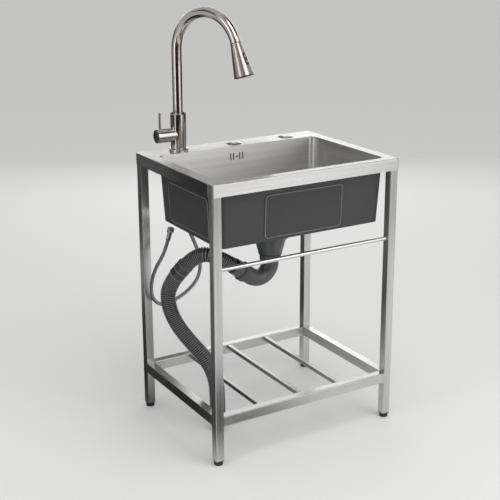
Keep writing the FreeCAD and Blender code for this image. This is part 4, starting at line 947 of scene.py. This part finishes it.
# A black ring round the drain cup's foot, painted shade of the step between cup and nut
def cup_ring():
    low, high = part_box("drain_nut")
    foot = (low + high) / 2
    foot.z = high.z
    cone_ring(
        "cup_shade_ring", foot, UP, CUP_FOOT_RADIUS, CUP_SLOPE, RING_START, CUP_RING,
        black_rubber,
    )


# Black rings round the blanking caps, painted shade of the gap round each cap
def cap_shade_rings():
    low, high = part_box("hole_caps")
    radius = (high.y - low.y) / 2
    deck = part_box("sink_top")[1].z
    inside = radius + CAP_SHADE_GAP
    outside = inside + CAP_SHADE_WIDTH
    outline = [
        (inside, 0.0),
        (outside, 0.0),
        (outside - CAP_SHADE_WIDTH / 3, CAP_SHADE_HEIGHT),
        (inside, CAP_SHADE_HEIGHT),
    ]
    for name, x in (("cap_shade_ring_left", low.x + radius), ("cap_shade_ring_right", high.x - radius)):
        foot = Vector((x, (low.y + high.y) / 2, deck))
        turned_piece(name, outline, foot, UP, black_rubber)


head_rings()
cup_ring()
cap_shade_rings()

# Studio: a plain pale floor, soft lamps, and dark cards that only the metal sees
FLOOR_PAINT = (0.76, 0.76, 0.755)
BLACK_PAINT = (0.02, 0.02, 0.02)
GREY_PAINT = (0.1, 0.1, 0.1)
PAINT_ROUGHNESS = 0.9
PAINT_GLOSS = 0.1
FLOOR_SIDE = 60.0


def plain(name, colour):
    material, tree, shader = new_material(name)
    shader.inputs["Base Color"].default_value = (*colour, 1.0)
    shader.inputs["Roughness"].default_value = PAINT_ROUGHNESS
    shader.inputs["Specular IOR Level"].default_value = PAINT_GLOSS
    return material


def stage_piece(name, points, faces, material):
    mesh = bpy.data.meshes.new(name)
    mesh.from_pydata(points, [], faces)
    mesh.materials.append(material)
    piece = bpy.data.objects.new(name, mesh)
    scene.collection.objects.link(piece)
    return piece


def reflected_piece(name, points, faces, material):
    """A piece of the stage that only reflections show, and that casts no shadow."""
    piece = stage_piece(name, points, faces, material)
    piece.visible_camera = False
    piece.visible_diffuse = False
    piece.visible_shadow = False
    piece.visible_transmission = False
    return piece


def square_corners(side):
    half = side / 2
    return [(-half, -half, 0.0), (half, -half, 0.0), (half, half, 0.0), (-half, half, 0.0)]


stage_piece("floor", square_corners(FLOOR_SIDE), [(0, 1, 2, 3)], plain("floor_paint", FLOOR_PAINT))
black_paint = plain("black_card_paint", BLACK_PAINT)
grey_paint = plain("grey_card_paint", GREY_PAINT)


# Dark spots on the floor with a soft edge
def dark_mat(name, middle, dark_reach, edge_reach, shade):
    material = plain(name + "_paint", (shade, shade, shade))
    tree = material.node_tree
    place = tree.nodes.new("ShaderNodeTexCoord")
    reach = tree.nodes.new("ShaderNodeVectorMath")
    reach.operation = "LENGTH"
    fade = tree.nodes.new("ShaderNodeMapRange")
    fade.interpolation_type = "SMOOTHSTEP"
    fade.inputs["From Min"].default_value = dark_reach
    fade.inputs["From Max"].default_value = edge_reach
    clear = tree.nodes.new("ShaderNodeBsdfTransparent")
    tree.links.new(place.outputs["Object"], reach.inputs[0])
    tree.links.new(reach.outputs["Value"], fade.inputs["Value"])
    mix_surfaces(tree, fade.outputs["Result"], tree.nodes["Principled BSDF"], clear)
    mat = reflected_piece(name, square_corners(2 * edge_reach), [(0, 1, 2, 3)], material)
    mat.location = middle


dark_mat("mat_back", middle=(-0.40, 0.80, 0.002), dark_reach=0.35, edge_reach=0.85, shade=0.04)
dark_mat("mat_left", middle=(-0.62, 0.12, 0.003), dark_reach=0.24, edge_reach=0.50, shade=0.03)
dark_mat("mat_front", middle=(-0.12, -0.55, 0.004), dark_reach=0.10, edge_reach=0.38, shade=0.06)

# Dark cards that stand round the object, between two headings and two heights
STRIP_STEPS = 12


def heading_point(heading, reach, height):
    """A point round the object: heading 0 is straight in front, 90 to the right."""
    angle = math.radians(heading)
    return (reach * math.sin(angle), -reach * math.cos(angle), height)


def curved_strip(name, headings, first_edge, second_edge, paint):
    """A strip round the object, with a reach and a height for each of its long edges."""
    start, end = headings
    points = []
    for step in range(STRIP_STEPS + 1):
        heading = start + (end - start) * step / STRIP_STEPS
        points += [heading_point(heading, *first_edge), heading_point(heading, *second_edge)]
    faces = [(2 * i, 2 * i + 2, 2 * i + 3, 2 * i + 1) for i in range(STRIP_STEPS)]
    reflected_piece(name, points, faces, paint)


def dark_card(name, headings, reach, heights, paint=black_paint):
    low, high = heights
    curved_strip(name, headings, (reach, low), (reach, high), paint)


dark_card("card_front", headings=(-68.0, 10.0), reach=2.3, heights=(0.01, 1.0))
dark_card("card_front_high", headings=(-44.0, -18.0), reach=2.3, heights=(1.0, 2.2))
dark_card("card_left", headings=(-128.0, -94.0), reach=0.62, heights=(0.01, 0.85))
dark_card("card_behind", headings=(-190.0, -141.0), reach=0.7, heights=(0.01, 0.6))
dark_card("card_back_left", headings=(-172.0, -128.0), reach=1.9, heights=(0.01, 1.3), paint=grey_paint)
dark_card("card_left_high", headings=(-128.0, -96.0), reach=1.5, heights=(1.55, 2.5), paint=grey_paint)
dark_card("card_back_right", headings=(63.0, 128.0), reach=1.9, heights=(0.01, 1.2))
dark_card("card_back", headings=(128.0, 176.0), reach=1.3, heights=(0.01, 0.42), paint=grey_paint)

# A low card close behind the deck, for its left and front edges
DECK_CARD_LEFT = -0.17
DECK_CARD_RIGHT = 0.30
DECK_CARD_Y = 0.45
DECK_CARD_LOW = 0.90
DECK_CARD_HIGH = 1.15
deck_card_corners = [
    (DECK_CARD_LEFT, DECK_CARD_Y, DECK_CARD_LOW),
    (DECK_CARD_RIGHT, DECK_CARD_Y, DECK_CARD_LOW),
    (DECK_CARD_RIGHT, DECK_CARD_Y, DECK_CARD_HIGH),
    (DECK_CARD_LEFT, DECK_CARD_Y, DECK_CARD_HIGH),
]
reflected_piece("card_deck", deck_card_corners, [(0, 1, 2, 3)], black_paint)


# Dark sheets overhead: one for the tap's arch, one for the deck's front fold
def overhead_sheet(name, headings, reaches, height):
    near, far = reaches
    curved_strip(name, headings, (near, height), (far, height), black_paint)


overhead_sheet("sheet_arch", headings=(-48.0, -14.0), reaches=(0.2, 3.6), height=3.4)
overhead_sheet("sheet_fold", headings=(34.0, 122.0), reaches=(0.9, 2.9), height=3.0)

# Soft lamps that all face one place in the object
LAMP_AIM = Vector((0.0, 0.0, 0.75))


def softbox(name, heading, reach, height, size, radiance):
    width, tall = size
    data = bpy.data.lights.new(name, "AREA")
    data.shape = "RECTANGLE"
    data.size = width
    data.size_y = tall
    data.energy = radiance * math.pi * width * tall
    lamp = bpy.data.objects.new(name, data)
    place = Vector(heading_point(heading, reach, height))
    lamp.matrix_world = Matrix.LocRotScale(place, (LAMP_AIM - place).to_track_quat("-Z", "Y"), None)
    lamp.visible_camera = False
    scene.collection.objects.link(lamp)


softbox("lamp_right", heading=21.0, reach=2.1, height=1.38, size=(1.6, 2.04), radiance=1.22)
softbox("lamp_left", heading=-79.0, reach=2.6, height=1.4, size=(0.8, 2.4), radiance=1.6)
softbox("lamp_back", heading=150.0, reach=3.2, height=1.3, size=(2.6, 0.9), radiance=2.0)
softbox("lamp_top", heading=6.0, reach=1.5, height=3.0, size=(1.6, 1.8), radiance=2.3)

# The world: one strength where it is seen or reflected, another where it lights
SKY_COLOUR = (1.0, 1.0, 0.995)
SKY_SHOWN = 0.62
SKY_LIGHT = 0.72


def make_world():
    world = bpy.data.worlds.new("studio")
    scene.world = world
    world.use_nodes = True
    tree = world.node_tree
    background = tree.nodes["Background"]
    background.inputs["Color"].default_value = (*SKY_COLOUR, 1.0)
    path = tree.nodes.new("ShaderNodeLightPath")
    shown = tree.nodes.new("ShaderNodeMath")
    shown.operation = "MAXIMUM"
    seen = tree.nodes.new("ShaderNodeMath")
    seen.operation = "MAXIMUM"
    strength = tree.nodes.new("ShaderNodeMapRange")
    strength.inputs["To Min"].default_value = SKY_LIGHT
    strength.inputs["To Max"].default_value = SKY_SHOWN
    tree.links.new(path.outputs["Is Camera Ray"], shown.inputs[0])
    tree.links.new(path.outputs["Is Glossy Ray"], shown.inputs[1])
    tree.links.new(shown.outputs["Value"], seen.inputs[0])
    tree.links.new(path.outputs["Is Transmission Ray"], seen.inputs[1])
    tree.links.new(seen.outputs["Value"], strength.inputs["Value"])
    tree.links.new(strength.outputs["Result"], background.inputs["Strength"])


make_world()
